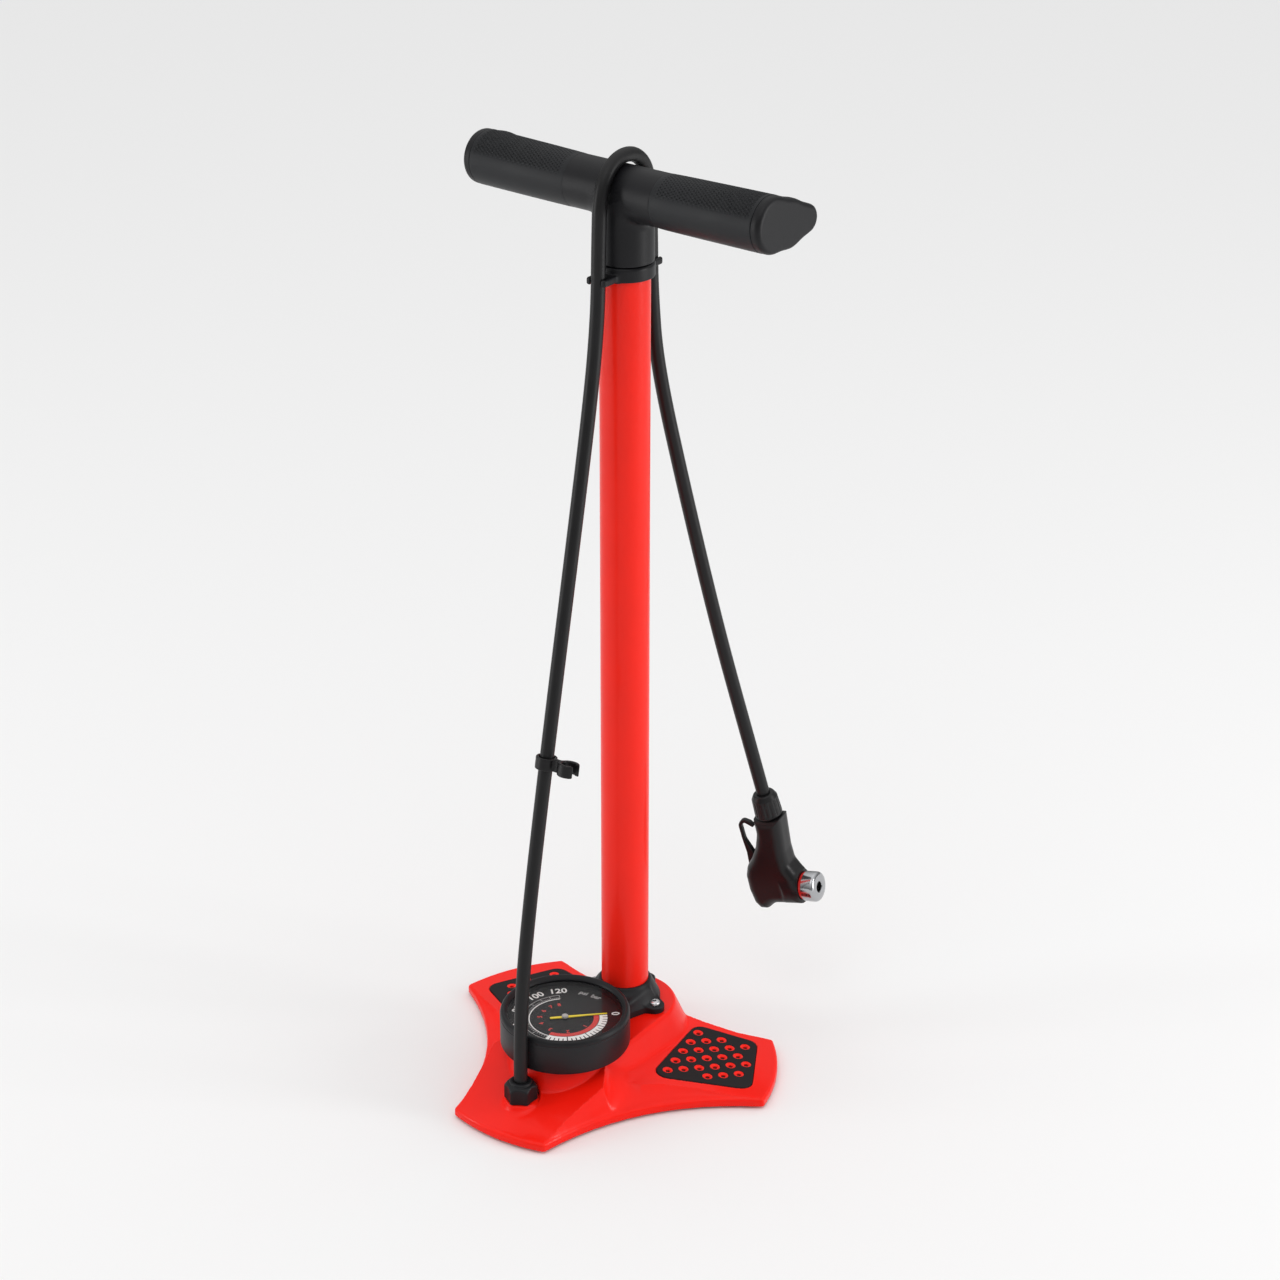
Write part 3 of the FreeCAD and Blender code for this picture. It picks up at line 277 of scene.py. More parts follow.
def revolved(outline, segments=32):
    """Points and faces of a closed outline of (radius, height) turned about Z."""
    outline = np.asarray(outline, float)
    angles = np.linspace(0, 2 * math.pi, segments, endpoint=False)
    points = np.stack([np.cos(angles)[:, None] * outline[:, 0], np.sin(angles)[:, None] * outline[:, 0],
                       np.repeat(outline[None, :, 1], segments, 0)], -1).reshape(-1, 3)
    count, faces = len(outline), []
    for turn in range(segments):
        for step in range(count):
            following = (step + 1) % count
            if max(outline[step, 0], outline[following, 0]) < ON_AXIS:
                continue
            here, there = turn * count, (turn + 1) % segments * count
            corners = [here + step, there + step, there + following, here + following]
            if outline[step, 0] < ON_AXIS:
                corners = [step, there + following, here + following]
            if outline[following, 0] < ON_AXIS:
                corners = [here + step, there + step, following]
            faces.append(corners)
    return points, faces


def turned(name, outline, body, slot, centre=(0, 0), at=None, segments=128):
    """Piece from a closed outline of (radius, height); it replaces the CAD node of the same name."""
    points, faces = revolved(outline, segments)
    points = points + (*centre, 0)
    if at is not None:
        points = points @ at[:3, :3].T + at[:3, 3]
    drop_loose(new_object(name, points, faces, body, slot, (name,)).data)


def ring_faces(count, around, flip=False):
    """Faces of a tube made of rings of points, closed at both ends; flip turns them round."""
    faces = [list(range(around))[::-1], list(range((count - 1) * around, count * around))]
    for ring in range(count - 1):
        for step in range(around):
            here, there = ring * around + step, ring * around + (step + 1) % around
            faces.append([here, there, there + around, here + around])
    return [[face[0], *face[:0:-1]] for face in faces] if flip else faces


def drop_loose(mesh):
    """Remove the points that no face uses, face the rest outwards and mark the sharp edges."""
    work = bmesh.new()
    work.from_mesh(mesh)
    loose = [vert for vert in work.verts if not vert.link_faces]
    bmesh.ops.delete(work, geom=loose, context="VERTS")
    bmesh.ops.recalc_face_normals(work, faces=work.faces)
    work.to_mesh(mesh)
    work.free()
    mesh.set_sharp_from_angle(angle=math.radians(SHARP))


def smooth_max(a, b, blend):
    """The larger of two fields, rounded off where they are within blend of each other."""
    return np.maximum(a, b) + np.maximum(blend - np.abs(a - b), 0) ** 2 / (4 * blend)


def smooth_min(a, b, blend):
    return -smooth_max(-a, -b, blend)


def slab(value, low, high):
    """Field of the layer between two values."""
    return np.maximum(low - value, value - high)


def polygon(x, y, corners):
    """Signed distance in the plane to a closed outline, negative inside."""
    nearest = np.inf
    inside = False
    for (ax, ay), (bx, by) in zip(corners, np.roll(corners, -1, axis=0)):
        ex, ey = bx - ax, by - ay
        wx, wy = x - ax, y - ay
        along = np.clip((wx * ex + wy * ey) / (ex * ex + ey * ey), 0, 1)
        nearest = np.minimum(nearest, (wx - ex * along) ** 2 + (wy - ey * along) ** 2)
        crossing = (ay > y) != (by > y)
        if ey:
            inside = inside ^ (crossing & (wx < ex * wy / ey))
    return np.where(inside, -1, 1) * np.sqrt(nearest)


def hull(y, z, near, far, near_r, far_r):
    """Signed distance in the plane to the hull of two circles."""
    reach = np.hypot(far[0] - near[0], far[1] - near[1])
    ahead = ((far[0] - near[0]) / reach, (far[1] - near[1]) / reach)
    along = (y - near[0]) * ahead[0] + (z - near[1]) * ahead[1]
    across = np.abs((z - near[1]) * ahead[0] - (y - near[0]) * ahead[1])
    lean = (near_r - far_r) / reach
    level = np.sqrt(1 - lean ** 2)
    where = across * -lean + along * level
    return np.where(where < 0, np.hypot(across, along) - near_r,
                    np.where(where > level * reach, np.hypot(across, along - reach) - far_r,
                             across * level + along * lean - near_r))


# ---- materials
def noise(tree, coordinates, scale, detail=3.0):
    node = tree.nodes.new("ShaderNodeTexNoise")
    node.inputs["Scale"].default_value = scale
    node.inputs["Detail"].default_value = detail
    node.inputs["Roughness"].default_value = 0.55
    tree.links.new(coordinates, node.inputs["Vector"])
    return node.outputs["Fac"]


def mixed(tree, factor, first, second):
    """Colour between two colours or colour sockets."""
    node = tree.nodes.new("ShaderNodeMix")
    node.data_type = "RGBA"
    tree.links.new(factor, node.inputs["Factor"])
    for socket, colour in ((node.inputs[6], first), (node.inputs[7], second)):
        if isinstance(colour, tuple):
            socket.default_value = (*colour, 1)
        else:
            tree.links.new(colour, socket)
    return node.outputs[2]


def shade(colour, gain):
    return tuple(min(part * gain, 1.0) for part in colour)


SMUDGE, EDGE_FROM, EDGE_TO = 30.0, 0.515, 0.58       # scale of the slow changes; how pointed an edge is that is painted paler, partly as scuffing and partly as a painted edge highlight
COAT_ROUGH = 0.08


def make_material(name, colour, rough, spread, tone, grain, depth, metal=0.0, coat=0.0, wear=0.0, worn=None,
                  stretch=(1, 1, 1), specular=0.5):
    """Procedural surface: slow changes of tone and gloss, fine grain in relief, and paler sharp edges that are
    partly scuffing and partly a painted edge highlight.
    """
    material = bpy.data.materials.new(name)
    material.use_nodes = True
    tree = material.node_tree
    shader = tree.nodes["Principled BSDF"]
    shader.inputs["Metallic"].default_value = metal
    shader.inputs["Specular IOR Level"].default_value = specular
    shader.inputs["Coat Weight"].default_value = coat
    shader.inputs["Coat Roughness"].default_value = COAT_ROUGH
    place = tree.nodes.new("ShaderNodeTexCoord").outputs["Object"]
    scaled = tree.nodes.new("ShaderNodeMapping")
    scaled.inputs["Scale"].default_value = stretch
    tree.links.new(place, scaled.inputs["Vector"])
    slow = noise(tree, place, SMUDGE)
    fine = noise(tree, scaled.outputs["Vector"], grain, 2.0)
    tint = mixed(tree, remap(tree, slow, 0, 1), shade(colour, 1 - tone), shade(colour, 1 + tone))
    # Sharp edges are painted paler: partly scuffing, partly a painted edge highlight.
    if wear:
        edge = tree.nodes.new("ShaderNodeNewGeometry").outputs["Pointiness"]
        tint = mixed(tree, remap(tree, edge, 0, wear, EDGE_FROM, EDGE_TO), tint, worn or shade(colour, 3))
    tree.links.new(tint, shader.inputs["Base Color"])
    both = tree.nodes.new("ShaderNodeMath")             # half of each noise, added up
    both.operation = "MULTIPLY_ADD"
    both.inputs[1].default_value = 0.5
    tree.links.new(fine, both.inputs[0])
    tree.links.new(remap(tree, slow, 0, 0.5), both.inputs[2])
    gloss = remap(tree, both.outputs[0], max(rough - spread, 0.02), rough + spread, 0.1, 0.9)
    tree.links.new(gloss, shader.inputs["Roughness"])
    relief = tree.nodes.new("ShaderNodeBump")
    relief.inputs["Strength"].default_value = 1.0
    relief.inputs["Distance"].default_value = depth
    tree.links.new(fine, relief.inputs["Height"])
    tree.links.new(relief.outputs["Normal"], shader.inputs["Normal"])
    return material


def lens_material():
    """Clear window: see-through, with a thin gloss that grows towards its edges."""
    material = bpy.data.materials.new("lens_clear")
    material.use_nodes = True
    tree = material.node_tree
    tree.nodes.remove(tree.nodes["Principled BSDF"])
    clear = tree.nodes.new("ShaderNodeBsdfTransparent")
    gloss = tree.nodes.new("ShaderNodeBsdfGlossy")
    place = tree.nodes.new("ShaderNodeTexCoord").outputs["Object"]
    tree.links.new(remap(tree, noise(tree, place, 60), 0.02, 0.07), gloss.inputs["Roughness"])
    facing = tree.nodes.new("ShaderNodeLayerWeight")
    facing.inputs["Blend"].default_value = 0.5
    steep = tree.nodes.new("ShaderNodeMath")
    steep.operation = "POWER"
    steep.inputs[1].default_value = 5
    tree.links.new(facing.outputs["Facing"], steep.inputs[0])
    mix = tree.nodes.new("ShaderNodeMixShader")
    tree.links.new(steep.outputs[0], mix.inputs["Fac"])
    tree.links.new(clear.outputs["BSDF"], mix.inputs[1])
    tree.links.new(gloss.outputs["BSDF"], mix.inputs[2])
    tree.links.new(mix.outputs["Shader"], tree.nodes["Material Output"].inputs["Surface"])
    return material


# For each slot: its colour, roughness and how far that wanders, how far the tone wanders, the grain's
# scale and the depth of its relief in metres, and whatever else differs from a plain surface.
# The paler colours that sharp edges take below are partly scuffing and partly a painted edge highlight.
LOOKS = {
    "red_paint": ((0.94, 0.0095, 0.0028), 0.34, 0.05, 0.03, 260, 0.00001,
                  dict(coat=0.1, wear=0.2, worn=(0.95, 0.05, 0.025), specular=0.16)),
    "black_plastic": ((0.0078, 0.0078, 0.0092), 0.44, 0.06, 0.15, 1500, 0.00003,
                      dict(wear=0.5, worn=(0.024, 0.025, 0.028), specular=0.24)),
    "head_plastic": ((0.006, 0.0055, 0.0062), 0.36, 0.06, 0.2, 1300, 0.00002,
                     dict(wear=0.4, worn=(0.022, 0.022, 0.024), specular=0.3)),
    "grip_rubber": ((0.009, 0.0098, 0.0116), 0.5, 0.07, 0.18, 1800, 0.00004,
                    dict(wear=0.4, worn=(0.024, 0.026, 0.029), specular=0.28)),
    "pad_rubber": ((0.014, 0.012, 0.013), 0.68, 0.08, 0.2, 1400, 0.00005, dict(specular=0.2)),
    "hose_rubber": ((0.0066, 0.0064, 0.007), 0.42, 0.06, 0.2, 900, 0.00003,
                    dict(stretch=(1, 1, 0.08), specular=0.28)),
    "seal_rubber": ((0.012, 0.012, 0.013), 0.6, 0.06, 0.12, 900, 0.00002, dict(specular=0.3)),
    "dial_face": ((0.008, 0.008, 0.009), 0.5, 0.05, 0.1, 2500, 0.00001, dict(specular=0.2)),
    "needle_yellow": ((0.9, 0.7, 0.015), 0.4, 0.05, 0.06, 1800, 0.00001, {}),
    "needle_cap": ((0.42, 0.4, 0.39), 0.35, 0.05, 0.1, 1500, 0.00001, {}),
    "steel": ((0.62, 0.62, 0.63), 0.26, 0.08, 0.08, 700, 0.00001, dict(metal=1.0, stretch=(1, 1, 12))),
    "chrome": ((0.44, 0.445, 0.46), 0.17, 0.05, 0.05, 500, 0.000004, dict(metal=1.0)),
    "brass": ((0.72, 0.5, 0.2), 0.3, 0.08, 0.12, 600, 0.00001, dict(metal=1.0)),
    "nylon": ((0.7, 0.68, 0.63), 0.45, 0.06, 0.06, 900, 0.00002, {}),
    "red_plastic": ((0.68, 0.015, 0.012), 0.3, 0.05, 0.1, 900, 0.00001, dict(coat=0.3)),
}
MATERIALS = {name: make_material(name, *numbers, **extra) for name, (*numbers, extra) in LOOKS.items()}
MATERIALS["lens_clear"] = lens_material()
# Printing on the dial: colour and how far the tone wanders.
INKS = {"print_white": ((0.82, 0.82, 0.8), 0.04), "print_red": ((0.62, 0.03, 0.025), 0.06),
        "print_grey": ((0.42, 0.41, 0.4), 0.06)}
PRINTS = {name: make_material(name, colour, 0.5, 0.05, tone, 1500, 0.00001)
          for name, (colour, tone) in INKS.items()}

for part in frame["record"]["subparts"]:
    data = frame["nodes"][part["node"]].data
    data.materials.clear()
    data.materials.append(MATERIALS[part["material_slot"]])


# ---- hose
# The same route as in part.py, in metres from the barrel's axis: up from the front leg, over the
# handle, and down to the pump head on the right. The last stretch lies in a plane at 45 degrees.
FRONT = [(-0.1295, 0.021), (-0.1295, 0.080), (-0.118, 0.160), (-0.0905, 0.293), (-0.058, 0.440),
         (-0.038, 0.534), (-0.031, 0.585), (-0.030, 0.625)]
OVER = [(-0.0282, 0.6674), (-0.0116, 0.6837), (0.0112, 0.6837), (0.0276, 0.6674)]
REAR = [(0.0, 0.625), (0.0005, 0.585), (0.0046, 0.530), (0.025, 0.435), (0.0505, 0.325),
        (0.0745, 0.235), (0.088, 0.1845)]
REAR_START, DIAGONAL = 0.030, math.sqrt(0.5)
HOSE_R, HOSE_LENGTH = 0.005, 1.214
route = [Vector((0, AXIS_Y * MM + y, z)) for y, z in FRONT + OVER]
route += [Vector((DIAGONAL * out, AXIS_Y * MM + REAR_START + DIAGONAL * out, z)) for out, z in REAR]


def smooth_line(points, name):
    """Points along the NURBS line that these control points pull."""
    curve = bpy.data.curves.new(name, "CURVE")
    curve.dimensions = "3D"
    spline = curve.splines.new("NURBS")
    spline.points.add(len(points) - 1)
    for point, control in zip(points, spline.points):
        control.co = (*point, 1)
    spline.order_u = 3
    spline.use_endpoint_u = True
    spline.resolution_u = 48
    guide = bpy.data.objects.new(name, curve)
    line = bpy.data.meshes.new_from_object(guide)
    ordered = np.array([vert.co for vert in line.vertices], dtype=float)
    bpy.data.objects.remove(guide)
    bpy.data.curves.remove(curve)
    return ordered


def tube_along(path, radius, around=24):
    """Rings of points round a path, carried along it without twist, and their faces."""
    ahead = np.gradient(path, axis=0)
    ahead /= np.linalg.norm(ahead, axis=1, keepdims=True)
    side = np.array([1.0, 0, 0])
    angles = np.linspace(0, 2 * math.pi, around, endpoint=False)
    rings = []
    for centre, heading in zip(path, ahead):
        side = side - heading * (side @ heading)
        side /= np.linalg.norm(side)
        other = np.cross(heading, side)
        rings.append(centre + radius * (np.cos(angles)[:, None] * side + np.sin(angles)[:, None] * other))
    return np.concatenate(rings), ring_faces(len(path), around)


hose_line = smooth_line(route, "hose_route")
hose_points, hose_faces = tube_along(hose_line, HOSE_R)
hose = new_object("hose", hose_points / MM, hose_faces, None, sharp=60)
hose.data.materials.append(MATERIALS["hose_rubber"])
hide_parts("hose_front_span", "hose_over_handle", "hose_rear_span")
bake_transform(hose)


# ---- base
STAR_Y = AXIS_Y - 45
# Each leg: direction, reach, how fast its top panel rises inwards and how high it gets.
LEGS = ((-90, 112, 0.36, 36), (28, 134, 0.12, 19), (152, 134, 0.12, 19))
# Outlines of the top panels, along and across the leg; the right leg's is mirrored for the left.
FRONT_PANEL = [(30, -36), (52, -50), (70, -45.5), (88, -41.7), (113, -38.5),
               (113, 38.5), (88, 41.7), (70, 45.5), (52, 50), (30, 36)]
SIDE_PANEL = [(0, -45), (44, -46), (60, -41.5), (83, -39.5), (135, -40),
              (135, 40), (105, 43), (81, 49.5), (58, 58), (20, 60), (0, 40)]
LEG_HALF, CORNER_ROUND = 41, 3.0
# Radii of the six edges: a leg's end bulges, and the edge between two legs is hollow.
BOWS = (130, -195, 130, -360, 130, -195)
RIM, HUB_TOP, HUB_R, HUB_SLOPE = 7.0, 36.0, 37.0, 2.3
SHELL, UNDERSIDE = 3.0, 2
BOSS_R, NUT_ROOM_R = 11.5, 13.5     # round seat of the hose nut and the room left round the nut


def arc_points(start, end, radius, steps=12):
    """From start towards end along an arc that bulges right, or left where the radius is negative."""
    start, end = np.array(start), np.array(end)
    chord = end - start
    length = np.linalg.norm(chord)
    side = np.array([chord[1], -chord[0]]) / length * math.copysign(1, radius)
    depth = abs(radius) - math.sqrt(radius ** 2 - (length / 2) ** 2)
    share = np.linspace(0, 1, steps, endpoint=False)
    bow = depth * (1 - (2 * share - 1) ** 2)
    return start + share[:, None] * chord + bow[:, None] * side


def star_outline(inset):
    """The base's outline, drawn smaller by inset."""
    corners = []
    for turn, reach, *_ in LEGS:
        c, s = math.cos(math.radians(turn)), math.sin(math.radians(turn))
        for half in (-LEG_HALF + inset, LEG_HALF - inset):
            corners.append(((reach - inset) * c - half * s, (reach - inset) * s + half * c))
    return np.concatenate([arc_points(corners[k], corners[(k + 1) % 6], BOWS[k]) for k in range(6)])


STAR = star_outline(CORNER_ROUND)


def rim_distance(x, y):
    return polygon(x, y - STAR_Y, STAR) - CORNER_ROUND


def along_leg(x, y, turn):
    c, s = math.cos(math.radians(turn)), math.sin(math.radians(turn))
    return x * c + (y - STAR_Y) * s, (y - STAR_Y) * c - x * s


def hub_height(x, y):
    along = np.clip(y, GAUGE_Y, AXIS_Y)
    off = np.hypot(x, y - along) - HUB_R
    return smooth_min(HUB_TOP, HUB_TOP - HUB_SLOPE * (off - 0.8), 3)


def base_top(x, y):
    """Height of the base's upper surface, before the recesses for the foot pads. Each leg has a
    sloping panel on top and hollow skirts that fall from the panel's edges to the rim."""
    top = hub_height(x, y)
    depth = np.maximum(-rim_distance(x, y), 0)
    for turn, reach, rise, summit in LEGS:
        u, v = along_leg(x, y, turn)
        panel = np.array(FRONT_PANEL if turn < 0 else SIDE_PANEL, float)
        gap = polygon(u, -v if turn > 90 else v, panel)
        level = smooth_min(RIM + 0.3 + rise * (reach - 1 - u), summit, 3)
        share = depth / (depth + np.maximum(gap, 0) + 0.01)
        top = smooth_max(top, RIM + (level - RIM) * share ** 1.8, 3)
    return top


PAD = [(123.5, -29.5), (122.5, 33.5), (74.5, 43.5), (48.5, -34)]        # along and across the right leg
PAD_ROUND, PAD_PROUD, PAD_SUNK = 9.0, 0.6, 2.5
# Rows of holes: along and across the leg for the first hole, then how many.
HOLE_STEP, HOLE_R = (11.14, 4.84), 3.75
HOLE_ROWS = ((90.2, -22.3, 3), (60.9, -22.9, 6), (65.1, -9, 5), (69.2, 4.9, 5), (73.4, 18.8, 3),
             (77.6, 32.7, 1))
# Outlines of the red cup in each hole and of the dark rubber disc in its bottom, which is painted shade for
# the hole's shaded floor.
CUP = [(3.7, -2.2), (3.7, 0.25), (3.3, 0.3), (2.3, -0.1), (1.7, -0.6), (1.7, -2.2)]
HOLE_SHADE_DISC = [(0.02, -2.2), (1.65, -2.2), (1.65, -1.5), (1.4, -1.3), (0.02, -1.3)]


def pad_turn(side):
    """Direction of the right leg (side 1) or the left leg (side -1)."""
    return 90 - 62 * side


def pad_outline(side):
    corners = [(u, v * side) for u, v in PAD]
    return rounded(corners[::side], [PAD_ROUND] * len(corners))


def pad_distance(x, y, side):
    return polygon(*along_leg(x, y, pad_turn(side)), pad_outline(side))


def pad_holes(side):
    """Centres of a pad's holes, in the row frame."""
    c, s = math.cos(math.radians(pad_turn(side))), math.sin(math.radians(pad_turn(side)))
    centres = []
    for first, across, count in HOLE_ROWS:
        for step in range(count):
            u, v = first + step * HOLE_STEP[0], (across + step * HOLE_STEP[1]) * side
            centres.append((u * c - v * s, u * s + v * c + STAR_Y))
    return centres


def base_field(x, y, z):
    rim, top = rim_distance(x, y), base_top(x, y)
    deck = top
    for side in (-1, 1):
        deck = deck - PAD_SUNK * np.clip(0.5 - pad_distance(x, y, side) / 0.5, 0, 1)
    from_nut = np.hypot(x, y - NUT_Y)
    boss = np.maximum(from_nut - BOSS_R, z - NUT_LOW[2])
    body = smooth_max(smooth_max(rim, (z - deck) * 0.9, 2.5), UNDERSIDE - z, 0.6)
    body = smooth_min(body, smooth_max(boss, UNDERSIDE - z, 0.6), 5)
    body = smooth_max(body, -np.maximum(from_nut - NUT_ROOM_R, NUT_LOW[2] - z), 1.5)
    hollow = np.maximum(rim + SHELL, z - top + SHELL + PAD_SUNK)
    return np.maximum(body, -hollow)


BASE_LOW, BASE_HIGH = box_mm("base_shell")
moulded("base", base_field, BASE_LOW - 2.3, BASE_HIGH + 2.3, 1.0, "base", RED, replaced="base_shell")


def merged(parts):
    """Several sets of points and faces as one."""
    points, faces, start = [], [], 0
    for some_points, some_faces in parts:
        points.append(some_points)
        faces += [[start + number for number in face] for face in some_faces]
        start += len(some_points)
    return np.concatenate(points), faces


for side, word in ((-1, "left"), (1, "right")):
    holes = pad_holes(side)

    def pad_field(x, y, z):
        top = base_top(x, y) + PAD_PROUD
        hole = HOLE_R - np.sqrt(np.minimum.reduce([(x - hx) ** 2 + (y - hy) ** 2 for hx, hy in holes]))
        body = smooth_max(smooth_max(pad_distance(x, y, side) + 0.2, z - top, 0.8), top - 2.9 - z, 0.3)
        return smooth_max(body, hole, 0.4)

    pad_low, pad_high = box_mm(f"foot_pad_{word}")
    moulded(f"foot_pad_{word}", pad_field, pad_low - 1.3, pad_high + 1.3, 0.5, "base", "pad_rubber")
    cups, shade_discs = [], []
    for hx, hy in holes:
        level, *beside = base_top(np.array([hx, hx + 1, hx]), np.array([hy, hy, hy + 1]))
        for outline, store in ((CUP, cups), (HOLE_SHADE_DISC, shade_discs)):
            points, faces = revolved(outline)
            points[:, 2] += level + points[:, :2] @ (np.array(beside) - level)
            points[:, 0] += hx
            points[:, 1] += hy
            store.append((points, faces))
    new_object(f"pad_cups_{word}", *merged(cups), "base", RED, sharp=SHARP)
    # The dark discs in the holes are painted shade for the shaded floor of each hole.
    new_object(f"pad_shade_discs_{word}", *merged(shade_discs), "base", "pad_rubber", sharp=SHARP)


# ---- bracket on the hub
TAB_R, TAB_REACH, PLATE_TOP = 7.5, 27, 41
TABS = [(TAB_REACH, AXIS_Y), (0, AXIS_Y + TAB_REACH), (-TAB_REACH, AXIS_Y)]
SOCKET_TOP, SOCKET_WIDE, SOCKET_SLIM = 56, 26.5, 19
NECK_HALF, NECK_TOP, CRADLE_R, CRADLE_TOP = 20, 50, 34, 39


def bracket_field(x, y, z):
    out = np.hypot(x, y - AXIS_Y)
    taper = np.interp(z, (PLATE_TOP, SOCKET_TOP), (SOCKET_WIDE, SOCKET_SLIM))
    cone = np.maximum((out - taper) * 0.9, z - SOCKET_TOP)
    body = smooth_max(cone, z - SOCKET_TOP, 1.5)
    for tx, ty in TABS:
        tab = np.maximum(np.hypot(x - tx, y - ty) - TAB_R, z - PLATE_TOP)
        body = smooth_min(body, smooth_max(tab, z - PLATE_TOP, 1.0), 4)
    neck = np.maximum(np.abs(x) - NECK_HALF, np.maximum(GAUGE_Y + NECK_HALF - y, y - AXIS_Y))
    neck = smooth_max(neck, z - NECK_TOP, 3)
    body = smooth_min(body, neck, 6)
    from_gauge = np.hypot(x, y - GAUGE_Y)
    body = np.minimum(body, np.maximum(from_gauge - CRADLE_R, z - CRADLE_TOP))
    body = np.maximum(body, HUB_TOP - z)
    body = np.maximum(body, np.where(z > CRADLE_TOP, DRUM_R + 0.1 - from_gauge, -5))
    return np.maximum(body, BARREL_R + 0.02 - out)


BRACKET_LOW, BRACKET_HIGH = box_mm("hub_bracket")
moulded("hub_bracket", bracket_field, BRACKET_LOW - (8, 2, 1.2), BRACKET_HIGH + (8, 2, 2), 0.8, "base", BLACK)
SCREW = [(0.02, 27), (2.2, 27), (2.2, 41), (4.2, 41), (4.25, 42), (4.0, 42.8), (3.2, 43.4), (2.2, 43.6),
         (1.5, 43.6), (1.3, 43.4), (1.3, 42.1), (0.02, 42.1)]
screws = []
for tx, ty in TABS:
    points, faces = revolved(SCREW, 48)
    screws.append((points + (tx, ty, 0), faces))
new_object("hub_screws", *merged(screws), "base", "steel", ("hub_screws",), sharp=SHARP)


# ---- spring of the check valve
# It stands under the poppet. The real spring shortens as the poppet opens; this mesh keeps one length.
COIL_R, COIL_LOW, COIL_RISE, COIL_TURNS, COIL_STEPS = 3, 38.5, 1.45, 3, 48
WIRE_R, WIRE_SIDES = 0.4, 10
coil_points = []
for step in range(COIL_STEPS * COIL_TURNS + 1):
    turn = step * 2 * math.pi / COIL_STEPS
    for side in range(WIRE_SIDES):
        round_wire = side * 2 * math.pi / WIRE_SIDES
        out = COIL_R + WIRE_R * math.cos(round_wire)
        coil_points.append((out * math.cos(turn), AXIS_Y + out * math.sin(turn),
                            COIL_LOW + COIL_RISE * turn / (2 * math.pi) + WIRE_R * math.sin(round_wire)))
coil_faces = ring_faces(COIL_STEPS * COIL_TURNS + 1, WIRE_SIDES, flip=True)
coil = new_object("valve_spring", np.array(coil_points), coil_faces, "base", "steel",
                  ("check_valve_spring",), sharp=60)
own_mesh(coil)


# ---- gauge
GAUGE = (0, GAUGE_Y)
CASE = [(0, 39), (45.8, 39), (46.9, 39.5), (47.5, 40.6), (47.5, 61.5), (47.1, 61.95), (42.2, 61.95),
        (42.2, 41.5), (0, 41.5)]
BEZEL = [(43.4, 62), (43.4, 63.7), (42, 63.7), (42.1, 64.2), (42.8, 65.1), (43.7, 66), (44.5, 66.6),
         (45.3, 66.7), (46.2, 66.2), (46.9, 65.3), (47.4, 64), (47.5, 63), (47.5, 62.5), (47.15, 62)]
LENS = [(0, 62), (43.3, 62), (43.3, 63.6), (0, 63.6)]
turned("gauge_case", CASE, "base", BLACK, GAUGE, segments=192)
turned("gauge_bezel", BEZEL, "base", BLACK, GAUGE, segments=192)
turned("gauge_lens", LENS, "base", "lens_clear", GAUGE)
# Degrees turned clockwise from the needle's rest, for each printed number.
SCALE = {0: 0, 20: 63, 40: 126, 60: 170, 80: 208, 100: 242, 120: 270}
ZERO_TURN, DIAL_TOP, PRINT_THICK, PSI_PER_BAR = 44.5, 57.4, 0.06, 14.5
DIAL = [(1.8, 56.4), (42.1, 56.4), (42.1, DIAL_TOP), (1.8, DIAL_TOP)]
turned("dial_plate", DIAL, "base", "dial_face", GAUGE)


def dial_turn(clockwise):
    return math.radians(ZERO_TURN - clockwise)


def dial_band(inner, outer, start, end):
    """Points and faces of a thin printed band between two radii and two dial angles."""
    steps = max(2, int(abs(end - start) / 2))
    turns = [dial_turn(start + (end - start) * k / steps) for k in range(steps + 1)]
    edges = ((inner, 0.01), (outer, 0.01), (outer, PRINT_THICK), (inner, PRINT_THICK))
    points = [(r * math.cos(t), GAUGE_Y + r * math.sin(t), DIAL_TOP + h) for t in turns for r, h in edges]
    faces = [[0, 1, 2, 3], [4 * steps + k for k in (3, 2, 1, 0)]]
    for k in range(steps):
        for edge in range(4):
            following = (edge + 1) % 4
            faces.append([4 * k + edge, 4 * k + 4 + edge, 4 * k + 4 + following, 4 * k + following])
    return np.array(points), faces


def dial_word(text, turn, radius, size, squeeze=1.0):
    """Points and faces of a number or unit, its foot towards the dial's centre."""
    curve = bpy.data.curves.new("word", "FONT")
    curve.body, curve.size, curve.extrude = text, size, PRINT_THICK / 2
    curve.offset = 0.022 * size
    curve.align_x, curve.align_y = "CENTER", "CENTER"
    guide = bpy.data.objects.new("word", curve)
    mesh = bpy.data.meshes.new_from_object(guide)
    flat = np.array([vert.co for vert in mesh.vertices])
    faces = [list(face.vertices) for face in mesh.polygons]
    bpy.data.objects.remove(guide)
    c, s = math.cos(turn), math.sin(turn)
    across, up = np.array((s, -c, 0)), np.array((c, s, 0))
    points = squeeze * flat[:, :1] * across + (flat[:, 1:2] + radius) * up
    points[:, 1] += GAUGE_Y
    points[:, 2] = DIAL_TOP + PRINT_THICK / 2 + flat[:, 2]
    return points, faces


def psi_turn(psi):
    """Degrees the needle turns clockwise for a pressure."""
    low = min(int(psi) // 20 * 20, 100)
    return SCALE[low] + (psi - low) / 20 * (SCALE[low + 20] - SCALE[low])


